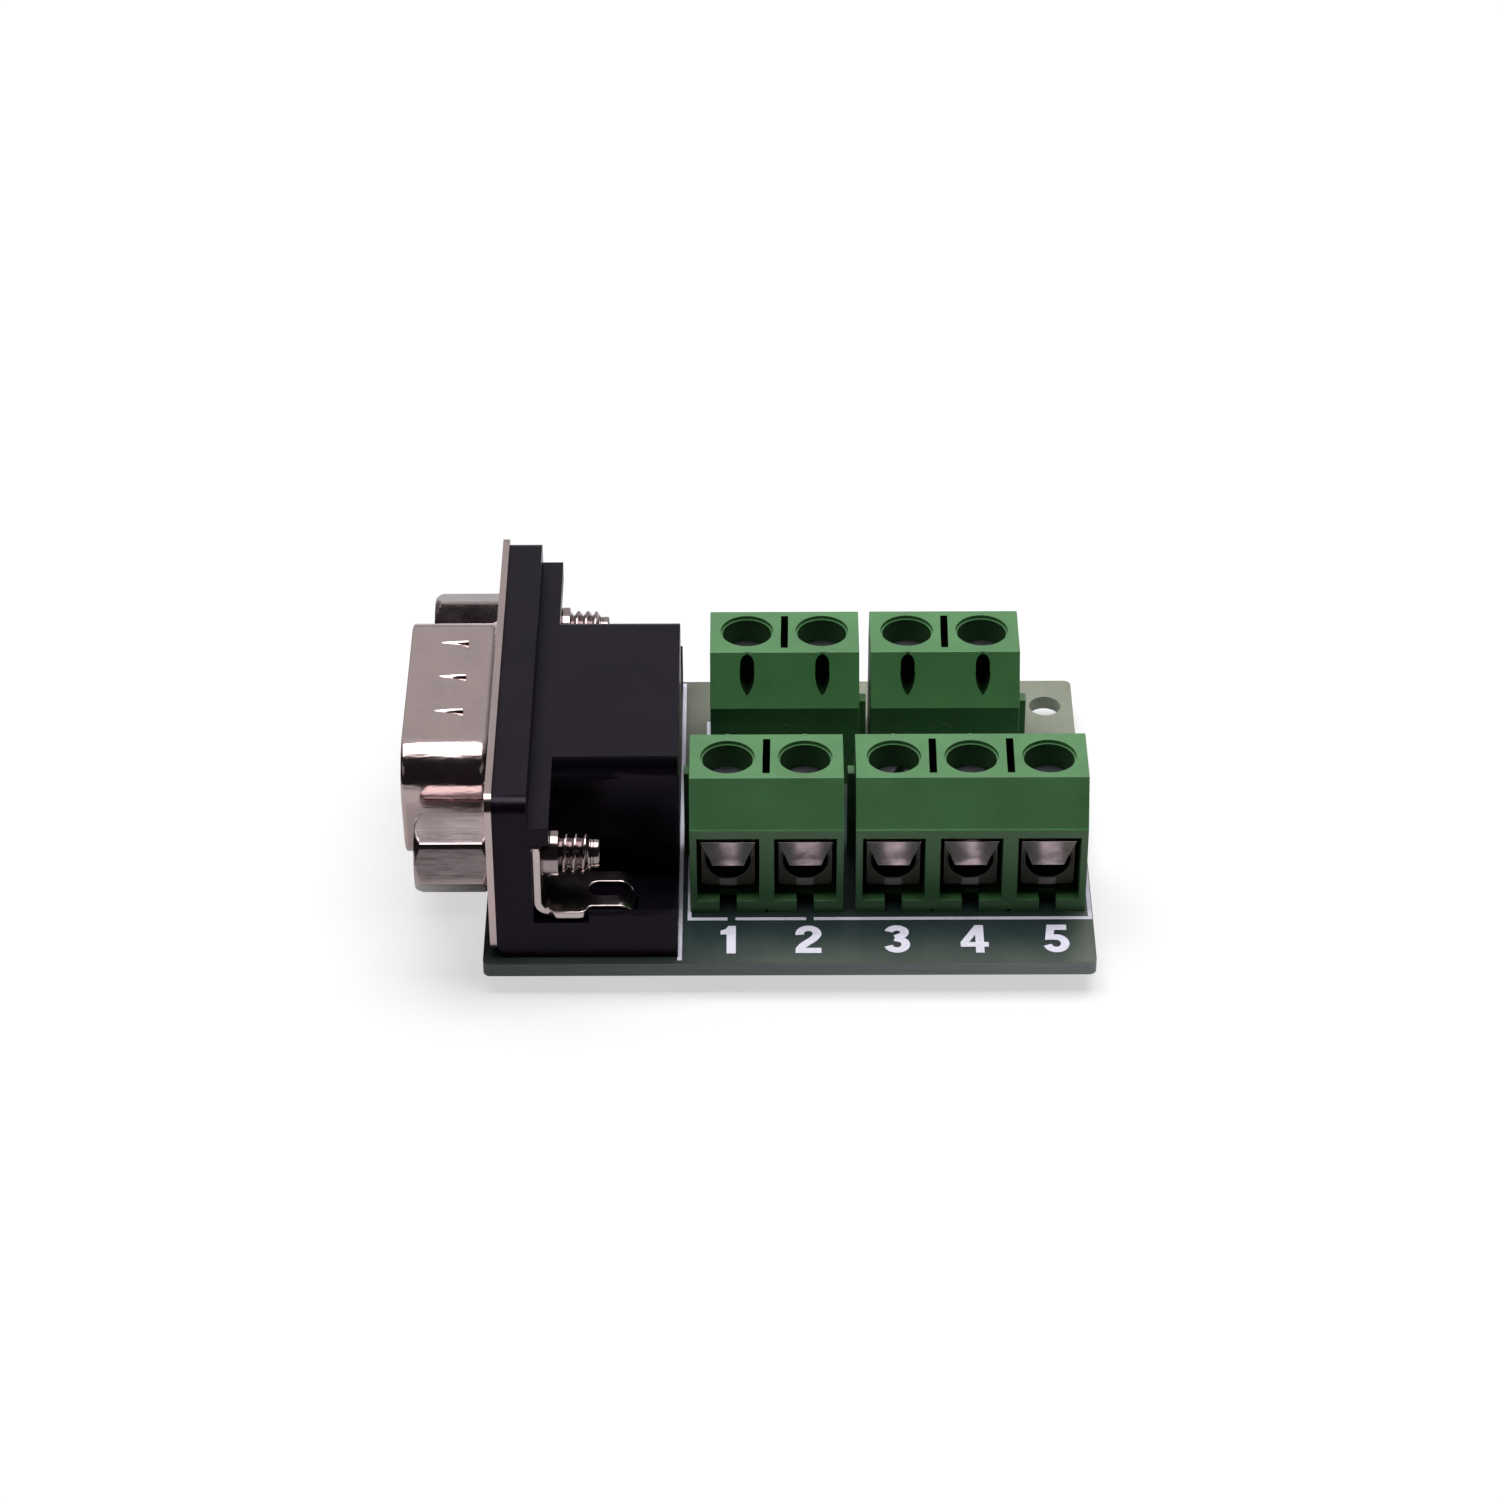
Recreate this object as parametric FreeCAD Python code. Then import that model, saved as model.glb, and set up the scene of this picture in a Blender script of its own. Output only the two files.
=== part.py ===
import FreeCAD, Part
import math
import os

from FreeCAD import Vector as V

# A breakout adapter: a nine-way male D-sub connector on the left edge of a small circuit board, wired to
# nine screw terminals in two rows. The front row (five terminals) takes its wires from the front, the back
# row (four terminals) takes them from the back. All lengths are in millimetres.
#
# The model is drawn in board coordinates: X from the board's left edge to the right, Y from its front edge
# to the back, Z up from its top face. The last step moves it so that the origin is the middle of the foot
# print, on the plane that the trimmed leads stand on.

# Circuit board
BOARD_LENGTH = 40.0
BOARD_TO_FLANGE = 0.35
BOARD_THICKNESS = 1.0
BOARD_CORNER_R = 0.5
MOUNT_HOLE_R = 1.1
MOUNT_HOLE_FROM_RIGHT = 1.95
MOUNT_HOLE_FROM_BACK = 3.05
LEAD_BELOW_BOARD = 1.5

# Terminal blocks, with depths counted from the screw axis: wire side negative, rear side positive
PITCH = 5.08
BLOCK_MARGIN = 2.5
BLOCK_HEIGHT = 10.0
WIRE_FACE = 3.7
WIRE_SLOPE_FOOT = 3.6
WIRE_SLOPE_FOOT_Z = 6.8
WIRE_LEDGE_DROP = 0.1
TOP_WIRE_EDGE = 2.3
TOP_REAR_EDGE = 2.5
REAR_SLOPE_FOOT = 4.2
REAR_SLOPE_FOOT_Z = 6.5
REAR_RECESS = 0.25
TONGUE_START = 2.65
TONGUE_DEPTH = 0.88
TONGUE_PROUD = 0.45
TONGUE_HEIGHT = 6.65
GROOVE_GAP = 0.12

# Screw wells, chambers and wire entries
WELL_MOUTH_R = 1.79
WELL_MOUTH_DEPTH = 0.25
WELL_R = 1.66
SEAT_Z = 7.1
SEAT_THICKNESS = 0.4
SEAT_HOLE_R = 1.35
ENTRY_WIDTH = 4.1
ENTRY_SILL_Z = 0.93
ENTRY_TOP_Z = 6.05
CHAMBER_FLOOR_Z = 0.5
SILL_DEPTH = 0.8
DRAIN_WIDTH = 1.12
PARTING_SLOT_WIDTH = 0.5
PARTING_SLOT_LENGTH = 3.75
PARTING_SLOT_DEPTH = 2.5
REAR_WINDOW_WIDTH = 1.0
REAR_WINDOW_TOP_Z = 9.95
REAR_WINDOW_FOOT_Z = 7.3
REAR_WINDOW_WALL = 0.3
NOTCH_WIDTH = 0.35
NOTCH_HEIGHT = 0.25

# Clamp cages, clamp screws and contact strips
CAGE_WIDTH = 3.5
CAGE_FRONT = 2.45
CAGE_REAR = 2.2
CAGE_FOOT_Z = 1.35
CAGE_TOP_Z = 5.7
CAGE_EDGE_R = 0.3
WIRE_HOLE_R = 1.5
WIRE_HOLE_Z = 3.4
SCREW_R = 1.2
SCREW_CLEARANCE = 0.05
SCREW_HEAD_R = 1.55
SCREW_HEAD_HEIGHT = 1.05
SCREW_SLOT_WIDTH = 0.5
SCREW_SLOT_DEPTH = 0.5
SCREW_CHAMFER = 0.15
STRIP_THICKNESS = 0.5
STRIP_WIDTH = 1.9
STRIP_FOOT_Z = 3.2
STRIP_GAP = 0.1
LIP_THICKNESS = 0.3
LIP_TOP_WIDTH = 3.65
LIP_KNEE_WIDTH = 2.55
LIP_FOOT_WIDTH = 2.1
LIP_TOP_Z = 5.45
LIP_KNEE_Z = 3.85
LIP_LEAN = 0.4
LEAD_WIDTH = 1.0

# Where the blocks stand: each row's screw axes from the board's nearer edge, and the gaps between blocks
FRONT_ROW_FROM_EDGE = 9.08
BACK_ROW_FROM_EDGE = 8.07
FRONT_BLOCK_TO_BODY = 0.31
BACK_BLOCK_TO_BODY = 2.03
FRONT_BLOCK_GAP = 0.35
BACK_BLOCK_GAP = 0.31

# D-sub connector
DSUB_OFF_MIDDLE = 0.1
DSUB_AXIS_Z = 6.62
FLANGE_FRONT_X = 0.52
SHEET = 0.45
JACK_PAST_MOUTH = 4.035
FLANGE_PAST_JACK = 2.905
FLANGE_HEIGHT = 12.55
FLANGE_CORNER_R = 1.2
MOUTH_WIDTH = 16.92
MOUTH_HEIGHT = 8.36
MOUTH_CORNER_R = 2.6
MOUTH_SIDE_ANGLE = 10.0
SHELL_DEPTH = 5.85
SHELL_FLARE_R = 0.7
DIMPLE_COUNT = 3
DIMPLE_PITCH = 3.9
DIMPLE_WIDTH = 1.9
DIMPLE_LENGTH = 1.7
DIMPLE_DEPTH = 0.3
DIMPLE_STEP_X = -1.4

# Insulator: the slab behind the flange and the boss that fills the shell's floor
SLAB_THICKNESS = 2.2
SLAB_PAST_JACK = 2.655
SLAB_TOP_Z = 12.5
SLAB_CORNER_R = 1.0
SLAB_TOE = 0.4
SLAB_TOE_HEIGHT = 1.0
BOSS_REACH = 0.9
BOSS_GAP = 0.08

# Housing: the plate behind the slab, the tall body over the bent contacts, and the trays at both ends
PLATE_END_X = 4.55
HOUSING_TOP_Z = 10.57
BODY_END_X = 12.72
BODY_TO_BRACKET = 1.445
BODY_EDGE_R = 1.15
BODY_WALL = 0.8
BODY_ROOF = 0.9
TRAY_FLOOR_Z = 1.4
TRAY_WALL = 0.65
TRAY_WALL_Z = 3.45
TRAY_NOTCH_Z = 2.85
TRAY_NOTCH_END_X = 7.0
POCKET_FLOOR_X = 3.4
POCKET_TOP_Z = 9.15
POCKET_GAP = 0.1

# Contacts
CONTACT_R = 0.5
CONTACT_TAIL_R = 0.35
CONTACT_TIP_SETBACK = 1.0
CONTACT_TIP_BEVEL = 0.25
CONTACT_PITCH = 2.77
ROW_SPACING = 2.84
CONTACT_BEND_R = 1.0
LOWER_ROW_LEG_X = 8.5
CONTACT_FIT = 0.02

# Ground brackets, their threaded collars and the jackscrews
BRACKET_SHEET = 0.53
BRACKET_WIDTH = 5.1
BRACKET_TOP_Z = 9.1
BRACKET_TONGUE_Z = 3.65
BRACKET_BEND_R = 0.5
BRACKET_CORNER_R = 0.8
FORK_START_X = 6.9
FORK_WIDTH = 3.7
FORK_SLOT_WIDTH = 1.44
FORK_LEG_X = 9.87
LOCK_WIDTH = 2.9
LOCK_TOP_Z = 1.3
LOCK_HOLE_R = 1.6
COLLAR_R = 1.63
COLLAR_NECK_R = 1.5
COLLAR_FIT = 0.02
COLLAR_END_X = 5.05
JACK_THREAD_R = 1.33
JACK_THREAD_END_X = 7.73
JACK_BORE_CLEARANCE = 0.04
JACK_HOLE_R = 1.75
HEX_ACROSS_FLATS = 4.76
HEX_LENGTH = 4.75
HEX_CHAMFER = 0.35
HEX_THREAD_R = 1.2
HEX_THREAD_DEPTH = 4.3
NEAR_HEX_ANGLE = 48.0
FAR_HEX_ANGLE = 20.8

# Plated holes and solder
LEAD_HOLE_R = 0.75
TAIL_HOLE_R = 0.5
SOLDER_RIM = 0.12
SOLDER_HEIGHT = 0.9

# The angle of each screw's slot, in degrees, terminals 1 to 9
SLOT_ANGLES = [20.0, -35.0, 65.0, 140.0, 10.0, -20.0, 30.0, -15.0, 25.0]

# Sizes that follow from those above
ENTRY_HALF = ENTRY_WIDTH / 2
JACK_SPACING = MOUTH_WIDTH + 2 * JACK_PAST_MOUTH
FLANGE_WIDTH = JACK_SPACING + 2 * FLANGE_PAST_JACK
SLAB_WIDTH = JACK_SPACING + 2 * SLAB_PAST_JACK
BODY_WIDTH = JACK_SPACING - BRACKET_WIDTH - 2 * BODY_TO_BRACKET
BOARD_WIDTH = FLANGE_WIDTH + 2 * BOARD_TO_FLANGE
DSUB_Y = BOARD_WIDTH / 2 + DSUB_OFF_MIDDLE
FRONT_ROW_Y = FRONT_ROW_FROM_EDGE
BACK_ROW_Y = BOARD_WIDTH - BACK_ROW_FROM_EDGE
FRONT_LEFT_X = BODY_END_X + FRONT_BLOCK_TO_BODY + TONGUE_PROUD + BLOCK_MARGIN
FRONT_RIGHT_X = FRONT_LEFT_X + PITCH + 2 * BLOCK_MARGIN + TONGUE_PROUD + FRONT_BLOCK_GAP
BACK_LEFT_X = BODY_END_X + BACK_BLOCK_TO_BODY + BLOCK_MARGIN
BACK_RIGHT_X = BACK_LEFT_X + PITCH + 2 * BLOCK_MARGIN + TONGUE_PROUD + BACK_BLOCK_GAP
FLANGE_BACK_X = FLANGE_FRONT_X + SHEET
SLAB_BACK_X = FLANGE_BACK_X + SLAB_THICKNESS
MATING_X = FLANGE_FRONT_X - SHELL_DEPTH
FRONT_JACK_Y = DSUB_Y - JACK_SPACING / 2
BACK_JACK_Y = DSUB_Y + JACK_SPACING / 2
LEAD_TIP_Z = -BOARD_THICKNESS - LEAD_BELOW_BOARD
UPPER_ROW_LEG_X = LOWER_ROW_LEG_X + ROW_SPACING
STRIP_TOP_Z = STRIP_FOOT_Z + STRIP_THICKNESS
LEAD_Y = CAGE_REAR + STRIP_GAP
SCREW_TIP_Z = STRIP_TOP_Z + SCREW_CLEARANCE
LOCK_X = FORK_LEG_X - BRACKET_SHEET / 2
TRAY_OUTER_Y = DSUB_Y - SLAB_WIDTH / 2
HEX_CORNER_R = HEX_ACROSS_FLATS / math.sqrt(3)
CUT = 1.0

UP = V(0, 0, 1)
RIGHT = V(1, 0, 0)
BACK = V(0, 1, 0)


def box(x0, x1, y0, y1, z0, z1):
    """A box between two corners."""
    return Part.makeBox(x1 - x0, y1 - y0, z1 - z0, V(x0, y0, z0))


def rod(start, end, radius):
    """A round rod from one point to another."""
    along = end - start
    return Part.makeCylinder(radius, along.Length, start, along)


def rod_along_x(x0, x1, y, z, radius):
    """A round rod along X."""
    return rod(V(x0, y, z), V(x1, y, z), radius)


def rod_up(x, y, z0, z1, radius):
    """An upright round rod."""
    return rod(V(x, y, z0), V(x, y, z1), radius)


def prism(points, direction):
    """A closed outline of straight sides, swept along a direction."""
    outline = Part.makePolygon(points + [points[0]])
    return Part.Face(outline).extrude(direction)


def edges_along(shape, direction):
    """The straight edges of a shape that run along a direction."""
    found = []
    for edge in shape.Edges:
        if isinstance(edge.Curve, (Part.Line, Part.LineSegment)):
            if abs(edge.tangentAt(edge.FirstParameter).dot(direction)) > 0.999:
                found.append(edge)
    return found


def round_edges(shape, direction, radius, keep):
    """Round the straight edges along a direction whose middle point passes the test."""
    chosen = [e for e in edges_along(shape, direction) if keep(e.CenterOfMass)]
    return shape.makeFillet(radius, chosen)


def across_ends(shape):
    """The same shape at the other end of the connector."""
    return shape.mirror(V(0, DSUB_Y, 0), BACK)


def joined(shapes):
    """Fuse shapes that touch or overlap into one clean solid."""
    return shapes[0].multiFuse(shapes[1:]).removeSplitter()


# Terminals


def terminals():
    """Each terminal's number, screw axis and the side that its wire enters from."""
    places = []
    for first_x, ways in ((FRONT_LEFT_X, 2), (FRONT_RIGHT_X, 3)):
        for way in range(ways):
            places.append((len(places) + 1, first_x + way * PITCH, FRONT_ROW_Y, False))
    for first_x, ways in ((BACK_LEFT_X, 2), (BACK_RIGHT_X, 2)):
        for way in range(ways):
            places.append((len(places) + 1, first_x + way * PITCH, BACK_ROW_Y, True))
    return places


def at_terminal(shape, x, y, turned):
    """Set a shape drawn about a screw axis on its terminal, turned round for the back row."""
    placed = shape.copy()
    if turned:
        placed.rotate(V(0, 0, 0), UP, 180)
    placed.translate(V(x, y, 0))
    return placed


def block_blank(ways):
    """The outer form of a terminal block, drawn about its first screw axis."""
    left = -BLOCK_MARGIN
    width = (ways - 1) * PITCH + 2 * BLOCK_MARGIN
    rear_face = REAR_SLOPE_FOOT - REAR_RECESS
    profile = [
        V(left, -WIRE_FACE, 0),
        V(left, -WIRE_FACE, WIRE_SLOPE_FOOT_Z - WIRE_LEDGE_DROP),
        V(left, -WIRE_SLOPE_FOOT, WIRE_SLOPE_FOOT_Z),
        V(left, -TOP_WIRE_EDGE, BLOCK_HEIGHT),
        V(left, TOP_REAR_EDGE, BLOCK_HEIGHT),
        V(left, REAR_SLOPE_FOOT, REAR_SLOPE_FOOT_Z),
        V(left, rear_face, REAR_SLOPE_FOOT_Z),
        V(left, rear_face, 0),
    ]
    blank = prism(profile, RIGHT * width)
    tongue_end = TONGUE_START + TONGUE_DEPTH
    tongue = box(left - TONGUE_PROUD, left + CUT, TONGUE_START, tongue_end, 0, TONGUE_HEIGHT)
    groove = box(
        left + width - TONGUE_PROUD - GROOVE_GAP, left + width + CUT,
        TONGUE_START - GROOVE_GAP, tongue_end + GROOVE_GAP,
        -CUT, TONGUE_HEIGHT + GROOVE_GAP,
    )
    return blank.fuse(tongue).cut(groove).removeSplitter()


def screw_well():
    """The stepped round well over a screw, with the seat that its head turns on."""
    mouth = rod_up(0, 0, BLOCK_HEIGHT - WELL_MOUTH_DEPTH, BLOCK_HEIGHT + CUT, WELL_MOUTH_R)
    well = rod_up(0, 0, SEAT_Z, BLOCK_HEIGHT, WELL_R)
    seat_hole = rod_up(0, 0, SEAT_Z - CUT, SEAT_Z, SEAT_HOLE_R)
    return [mouth, well, seat_hole]


def wire_chamber():
    """The room that the cage slides in, its wire entry, and the way out for the soldered lead."""
    chamber_top = SEAT_Z - SEAT_THICKNESS
    chamber_end = CAGE_REAR + STRIP_GAP
    inner_front = -WIRE_FACE + SILL_DEPTH
    entry = box(-ENTRY_HALF, ENTRY_HALF, -WIRE_FACE - CUT, chamber_end, ENTRY_SILL_Z, ENTRY_TOP_Z)
    room = box(-ENTRY_HALF, ENTRY_HALF, inner_front, chamber_end, CHAMBER_FLOOR_Z, chamber_top)
    drain_half = DRAIN_WIDTH / 2
    drain = box(-drain_half, drain_half, -WIRE_FACE - CUT, inner_front + CUT, -CUT, ENTRY_SILL_Z + CUT)
    lead_half = LEAD_WIDTH / 2 + STRIP_GAP
    lead_end = LEAD_Y + STRIP_THICKNESS + STRIP_GAP
    strip_half = STRIP_WIDTH / 2 + STRIP_GAP
    shaft = box(-lead_half, lead_half, chamber_end - CUT / 2, lead_end, -CUT, CHAMBER_FLOOR_Z + CUT)
    back_slot = box(-strip_half, strip_half, 0, lead_end, CHAMBER_FLOOR_Z, STRIP_TOP_Z + STRIP_GAP)
    return [entry, room, drain, shaft, back_slot]


def rear_window():
    """The pointed oval pocket in the rear slope, with a thin wall left before the well."""
    middle_z = (REAR_WINDOW_TOP_Z + REAR_WINDOW_FOOT_Z) / 2
    half = REAR_WINDOW_WIDTH / 2
    y = WELL_MOUTH_R + REAR_WINDOW_WALL
    foot = V(0, y, REAR_WINDOW_FOOT_Z)
    top = V(0, y, REAR_WINDOW_TOP_Z)
    left_side = Part.Arc(foot, V(-half, y, middle_z), top).toShape()
    right_side = Part.Arc(top, V(half, y, middle_z), foot).toShape()
    oval = Part.Face(Part.Wire([left_side, right_side]))
    return oval.extrude(BACK * (REAR_SLOPE_FOOT + CUT - y))


def terminal_block(ways):
    """One moulded terminal block with all its openings."""
    cuts = []
    slot_start = (TOP_REAR_EDGE - TOP_WIRE_EDGE - PARTING_SLOT_LENGTH) / 2
    for way in range(ways):
        shift = RIGHT * (way * PITCH)
        for tool in screw_well() + wire_chamber() + [rear_window()]:
            cuts.append(tool.translated(shift))
    for gap in range(ways - 1):
        middle = (gap + 0.5) * PITCH
        half = PARTING_SLOT_WIDTH / 2
        cuts.append(box(
            middle - half, middle + half, slot_start, slot_start + PARTING_SLOT_LENGTH,
            BLOCK_HEIGHT - PARTING_SLOT_DEPTH, BLOCK_HEIGHT + CUT,
        ))
        notch = [
            V(middle - NOTCH_WIDTH / 2, -WIRE_FACE - CUT, 0),
            V(middle, -WIRE_FACE - CUT, NOTCH_HEIGHT),
            V(middle + NOTCH_WIDTH / 2, -WIRE_FACE - CUT, 0),
        ]
        cuts.append(prism(notch, BACK * (CUT + SILL_DEPTH)))
    return block_blank(ways).cut(cuts[0].multiFuse(cuts[1:])).removeSplitter()


def clamp_cage():
    """A rising clamp cage: a small block with a round wire hole and a threaded hole in its roof."""
    half = CAGE_WIDTH / 2
    cage = box(-half, half, -CAGE_FRONT, CAGE_REAR, CAGE_FOOT_Z, CAGE_TOP_Z)
    cage = round_edges(cage, BACK, CAGE_EDGE_R, lambda middle: True)
    wire_hole = rod(V(0, -CAGE_FRONT - CUT, WIRE_HOLE_Z), V(0, CAGE_REAR + CUT, WIRE_HOLE_Z), WIRE_HOLE_R)
    thread = rod_up(0, 0, WIRE_HOLE_Z, CAGE_TOP_Z + CUT, SCREW_R + SCREW_CLEARANCE)
    return cage.cut(wire_hole.fuse(thread))


def clamp_screw(slot_angle):
    """A captive slotted screw: it turns on its seat and lifts the cage."""
    head_foot = SEAT_Z + SCREW_CLEARANCE
    head_top = head_foot + SCREW_HEAD_HEIGHT
    half_outline = [
        V(0, 0, SCREW_TIP_Z),
        V(SCREW_R - SCREW_CHAMFER, 0, SCREW_TIP_Z),
        V(SCREW_R, 0, SCREW_TIP_Z + SCREW_CHAMFER),
        V(SCREW_R, 0, head_foot),
        V(SCREW_HEAD_R, 0, head_foot),
        V(SCREW_HEAD_R, 0, head_top - SCREW_CHAMFER),
        V(SCREW_HEAD_R - SCREW_CHAMFER, 0, head_top),
        V(0, 0, head_top),
    ]
    screw = Part.Face(Part.makePolygon(half_outline + [half_outline[0]])).revolve(V(0, 0, 0), UP, 360)
    reach = SCREW_HEAD_R + CUT
    half_slot = SCREW_SLOT_WIDTH / 2
    slot = box(-reach, reach, -half_slot, half_slot, head_top - SCREW_SLOT_DEPTH, head_top + CUT)
    slot.rotate(V(0, 0, 0), UP, slot_angle)
    return screw.cut(slot)


def contact_strip():
    """The fixed strip that the cage clamps a wire against, with its flared lip and soldered lead."""
    front = -CAGE_FRONT - STRIP_GAP - LIP_THICKNESS
    lead_back = LEAD_Y + STRIP_THICKNESS
    half = STRIP_WIDTH / 2
    bar = box(-half, half, front, lead_back, STRIP_FOOT_Z, STRIP_TOP_Z)
    drop = box(-half, half, LEAD_Y, lead_back, CHAMBER_FLOOR_Z + STRIP_GAP, STRIP_FOOT_Z)
    lead_half = LEAD_WIDTH / 2
    lead = box(-lead_half, lead_half, LEAD_Y, lead_back, LEAD_TIP_Z, CHAMBER_FLOOR_Z + STRIP_GAP)
    lip_back = front + LIP_THICKNESS
    lip_reach = LIP_TOP_WIDTH / 2 + CUT
    side_view = [
        V(-lip_reach, front, STRIP_FOOT_Z),
        V(-lip_reach, front, LIP_KNEE_Z),
        V(-lip_reach, front - LIP_LEAN, LIP_TOP_Z),
        V(-lip_reach, lip_back - LIP_LEAN, LIP_TOP_Z),
        V(-lip_reach, lip_back, LIP_KNEE_Z),
        V(-lip_reach, lip_back, STRIP_FOOT_Z),
    ]
    front_view = [
        V(-LIP_FOOT_WIDTH / 2, front - CUT, STRIP_FOOT_Z),
        V(-LIP_KNEE_WIDTH / 2, front - CUT, LIP_KNEE_Z),
        V(-LIP_TOP_WIDTH / 2, front - CUT, LIP_TOP_Z),
        V(LIP_TOP_WIDTH / 2, front - CUT, LIP_TOP_Z),
        V(LIP_KNEE_WIDTH / 2, front - CUT, LIP_KNEE_Z),
        V(LIP_FOOT_WIDTH / 2, front - CUT, STRIP_FOOT_Z),
    ]
    lip = prism(side_view, RIGHT * 2 * lip_reach).common(prism(front_view, BACK * 2 * CUT))
    return joined([bar, drop, lead, lip])


# D-sub connector


def d_outline(width, height, corner_r, x):
    """The connector's D outline, wide side up, as a wire in the plane at x."""
    angle = math.radians(MOUTH_SIDE_ANGLE)
    half_height = height / 2
    top_y = width / 2 - corner_r
    rise = 2 * (half_height - corner_r)
    low_y = top_y - math.tan(angle) * rise

    def spot(centre_y, centre_z, degrees):
        turn = math.radians(degrees)
        y = DSUB_Y + centre_y + corner_r * math.cos(turn)
        return V(x, y, DSUB_AXIS_Z + centre_z + corner_r * math.sin(turn))

    high = half_height - corner_r
    side = MOUTH_SIDE_ANGLE
    corners = [
        (top_y, high, -side, 90.0),
        (-top_y, high, 90.0, 180.0 + side),
        (-low_y, -high, 180.0 + side, 270.0),
        (low_y, -high, 270.0, 360.0 - side),
    ]
    edges = []
    for index, (cy, cz, start, end) in enumerate(corners):
        arc = Part.Arc(spot(cy, cz, start), spot(cy, cz, (start + end) / 2), spot(cy, cz, end))
        edges.append(arc.toShape())
        next_cy, next_cz, next_start, _ = corners[(index + 1) % len(corners)]
        edges.append(Part.makeLine(spot(cy, cz, end), spot(next_cy, next_cz, next_start)))
    return Part.Wire(edges)


def d_prism(grow, x0, x1):
    """A D-shaped prism between two planes, larger than the mouth by a margin on every side."""
    outline = d_outline(MOUTH_WIDTH + 2 * grow, MOUTH_HEIGHT + 2 * grow, MOUTH_CORNER_R + grow, x0)
    return Part.Face(outline).extrude(RIGHT * (x1 - x0))


def flange_blank():
    """The shell's flat flange with rounded corners."""
    half_w = FLANGE_WIDTH / 2
    half_h = FLANGE_HEIGHT / 2
    flange = box(
        FLANGE_FRONT_X, FLANGE_BACK_X, DSUB_Y - half_w, DSUB_Y + half_w,
        DSUB_AXIS_Z - half_h, DSUB_AXIS_Z + half_h,
    )
    return round_edges(flange, RIGHT, FLANGE_CORNER_R, lambda middle: True)


def dimple_wedge(y, drop):
    """A ramp that sinks into the shell's roof from front to back, ending in a step."""
    roof = DSUB_AXIS_Z + MOUTH_HEIGHT / 2 + SHEET - drop
    start = y - DIMPLE_WIDTH / 2
    ramp = [
        V(DIMPLE_STEP_X - DIMPLE_LENGTH, start, roof),
        V(DIMPLE_STEP_X, start, roof - DIMPLE_DEPTH),
        V(DIMPLE_STEP_X, start, roof),
    ]
    return prism(ramp, BACK * DIMPLE_WIDTH)


def dsub_shell():
    """The drawn metal shell: flange, flared root, D-shaped skirt and pressed grip dimples."""
    skirt = d_prism(SHEET, MATING_X, FLANGE_BACK_X)
    shell = joined([flange_blank(), skirt])
    root = [
        edge for edge in shell.Edges
        if abs(edge.BoundBox.XMin - FLANGE_FRONT_X) < 1e-6
        and abs(edge.BoundBox.XMax - FLANGE_FRONT_X) < 1e-6
        and abs(edge.CenterOfMass.y - DSUB_Y) < MOUTH_WIDTH / 2 + 2 * SHEET
        and abs(edge.CenterOfMass.z - DSUB_AXIS_Z) < MOUTH_HEIGHT / 2 + 2 * SHEET
    ]
    shell = shell.makeFillet(SHELL_FLARE_R, root)
    shell = shell.cut(d_prism(0, MATING_X - CUT, FLANGE_BACK_X + CUT))
    for y in (FRONT_JACK_Y, BACK_JACK_Y):
        hole = rod_along_x(FLANGE_FRONT_X - CUT, FLANGE_BACK_X + CUT, y, DSUB_AXIS_Z, JACK_HOLE_R)
        shell = shell.cut(hole)
    for number in range(DIMPLE_COUNT):
        y = DSUB_Y + (number - (DIMPLE_COUNT - 1) / 2) * DIMPLE_PITCH
        shell = shell.cut(dimple_wedge(y, 0)).fuse(dimple_wedge(y, SHEET))
    return shell.removeSplitter()


def contact_places():
    """Y, Z and leg X of each contact: five in the upper row, four in the lower."""
    upper_z = DSUB_AXIS_Z + ROW_SPACING / 2
    lower_z = DSUB_AXIS_Z - ROW_SPACING / 2
    places = []
    for step in (-2, -1, 0, 1, 2):
        places.append((DSUB_Y + step * CONTACT_PITCH, upper_z, UPPER_ROW_LEG_X))
    for step in (-1.5, -0.5, 0.5, 1.5):
        places.append((DSUB_Y + step * CONTACT_PITCH, lower_z, LOWER_ROW_LEG_X))
    return places


def dsub_insulator():
    """The moulded insulator: slab behind the flange, boss in the shell's floor, and contact holes."""
    near = DSUB_Y - SLAB_WIDTH / 2
    far = DSUB_Y + SLAB_WIDTH / 2
    slab = box(FLANGE_BACK_X, SLAB_BACK_X, near, far, 0, SLAB_TOP_Z)
    slab = round_edges(slab, RIGHT, SLAB_CORNER_R, lambda middle: middle.z > SLAB_TOP_Z - CUT)
    toe = [
        V(FLANGE_BACK_X - CUT, near - CUT, -CUT),
        V(FLANGE_BACK_X + SLAB_TOE * 2, near - CUT, -CUT),
        V(FLANGE_BACK_X + SLAB_TOE, near - CUT, 0),
        V(FLANGE_BACK_X, near - CUT, SLAB_TOE_HEIGHT),
        V(FLANGE_BACK_X - CUT, near - CUT, SLAB_TOE_HEIGHT),
    ]
    slab = slab.cut(prism(toe, BACK * (SLAB_WIDTH + 2 * CUT)))
    boss = d_prism(-BOSS_GAP, FLANGE_FRONT_X - BOSS_REACH, FLANGE_BACK_X + SLAB_THICKNESS / 2)
    insulator = joined([slab, boss])
    holes = []
    hole_r = CONTACT_R + CONTACT_FIT
    for y, z, _ in contact_places():
        holes.append(rod_along_x(FLANGE_FRONT_X - BOSS_REACH - CUT, SLAB_BACK_X + CUT, y, z, hole_r))
    for y in (FRONT_JACK_Y, BACK_JACK_Y):
        holes.append(rod_along_x(FLANGE_BACK_X - CUT, SLAB_BACK_X + CUT, y, DSUB_AXIS_Z, JACK_HOLE_R))
    return insulator.cut(holes[0].multiFuse(holes[1:]))


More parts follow.
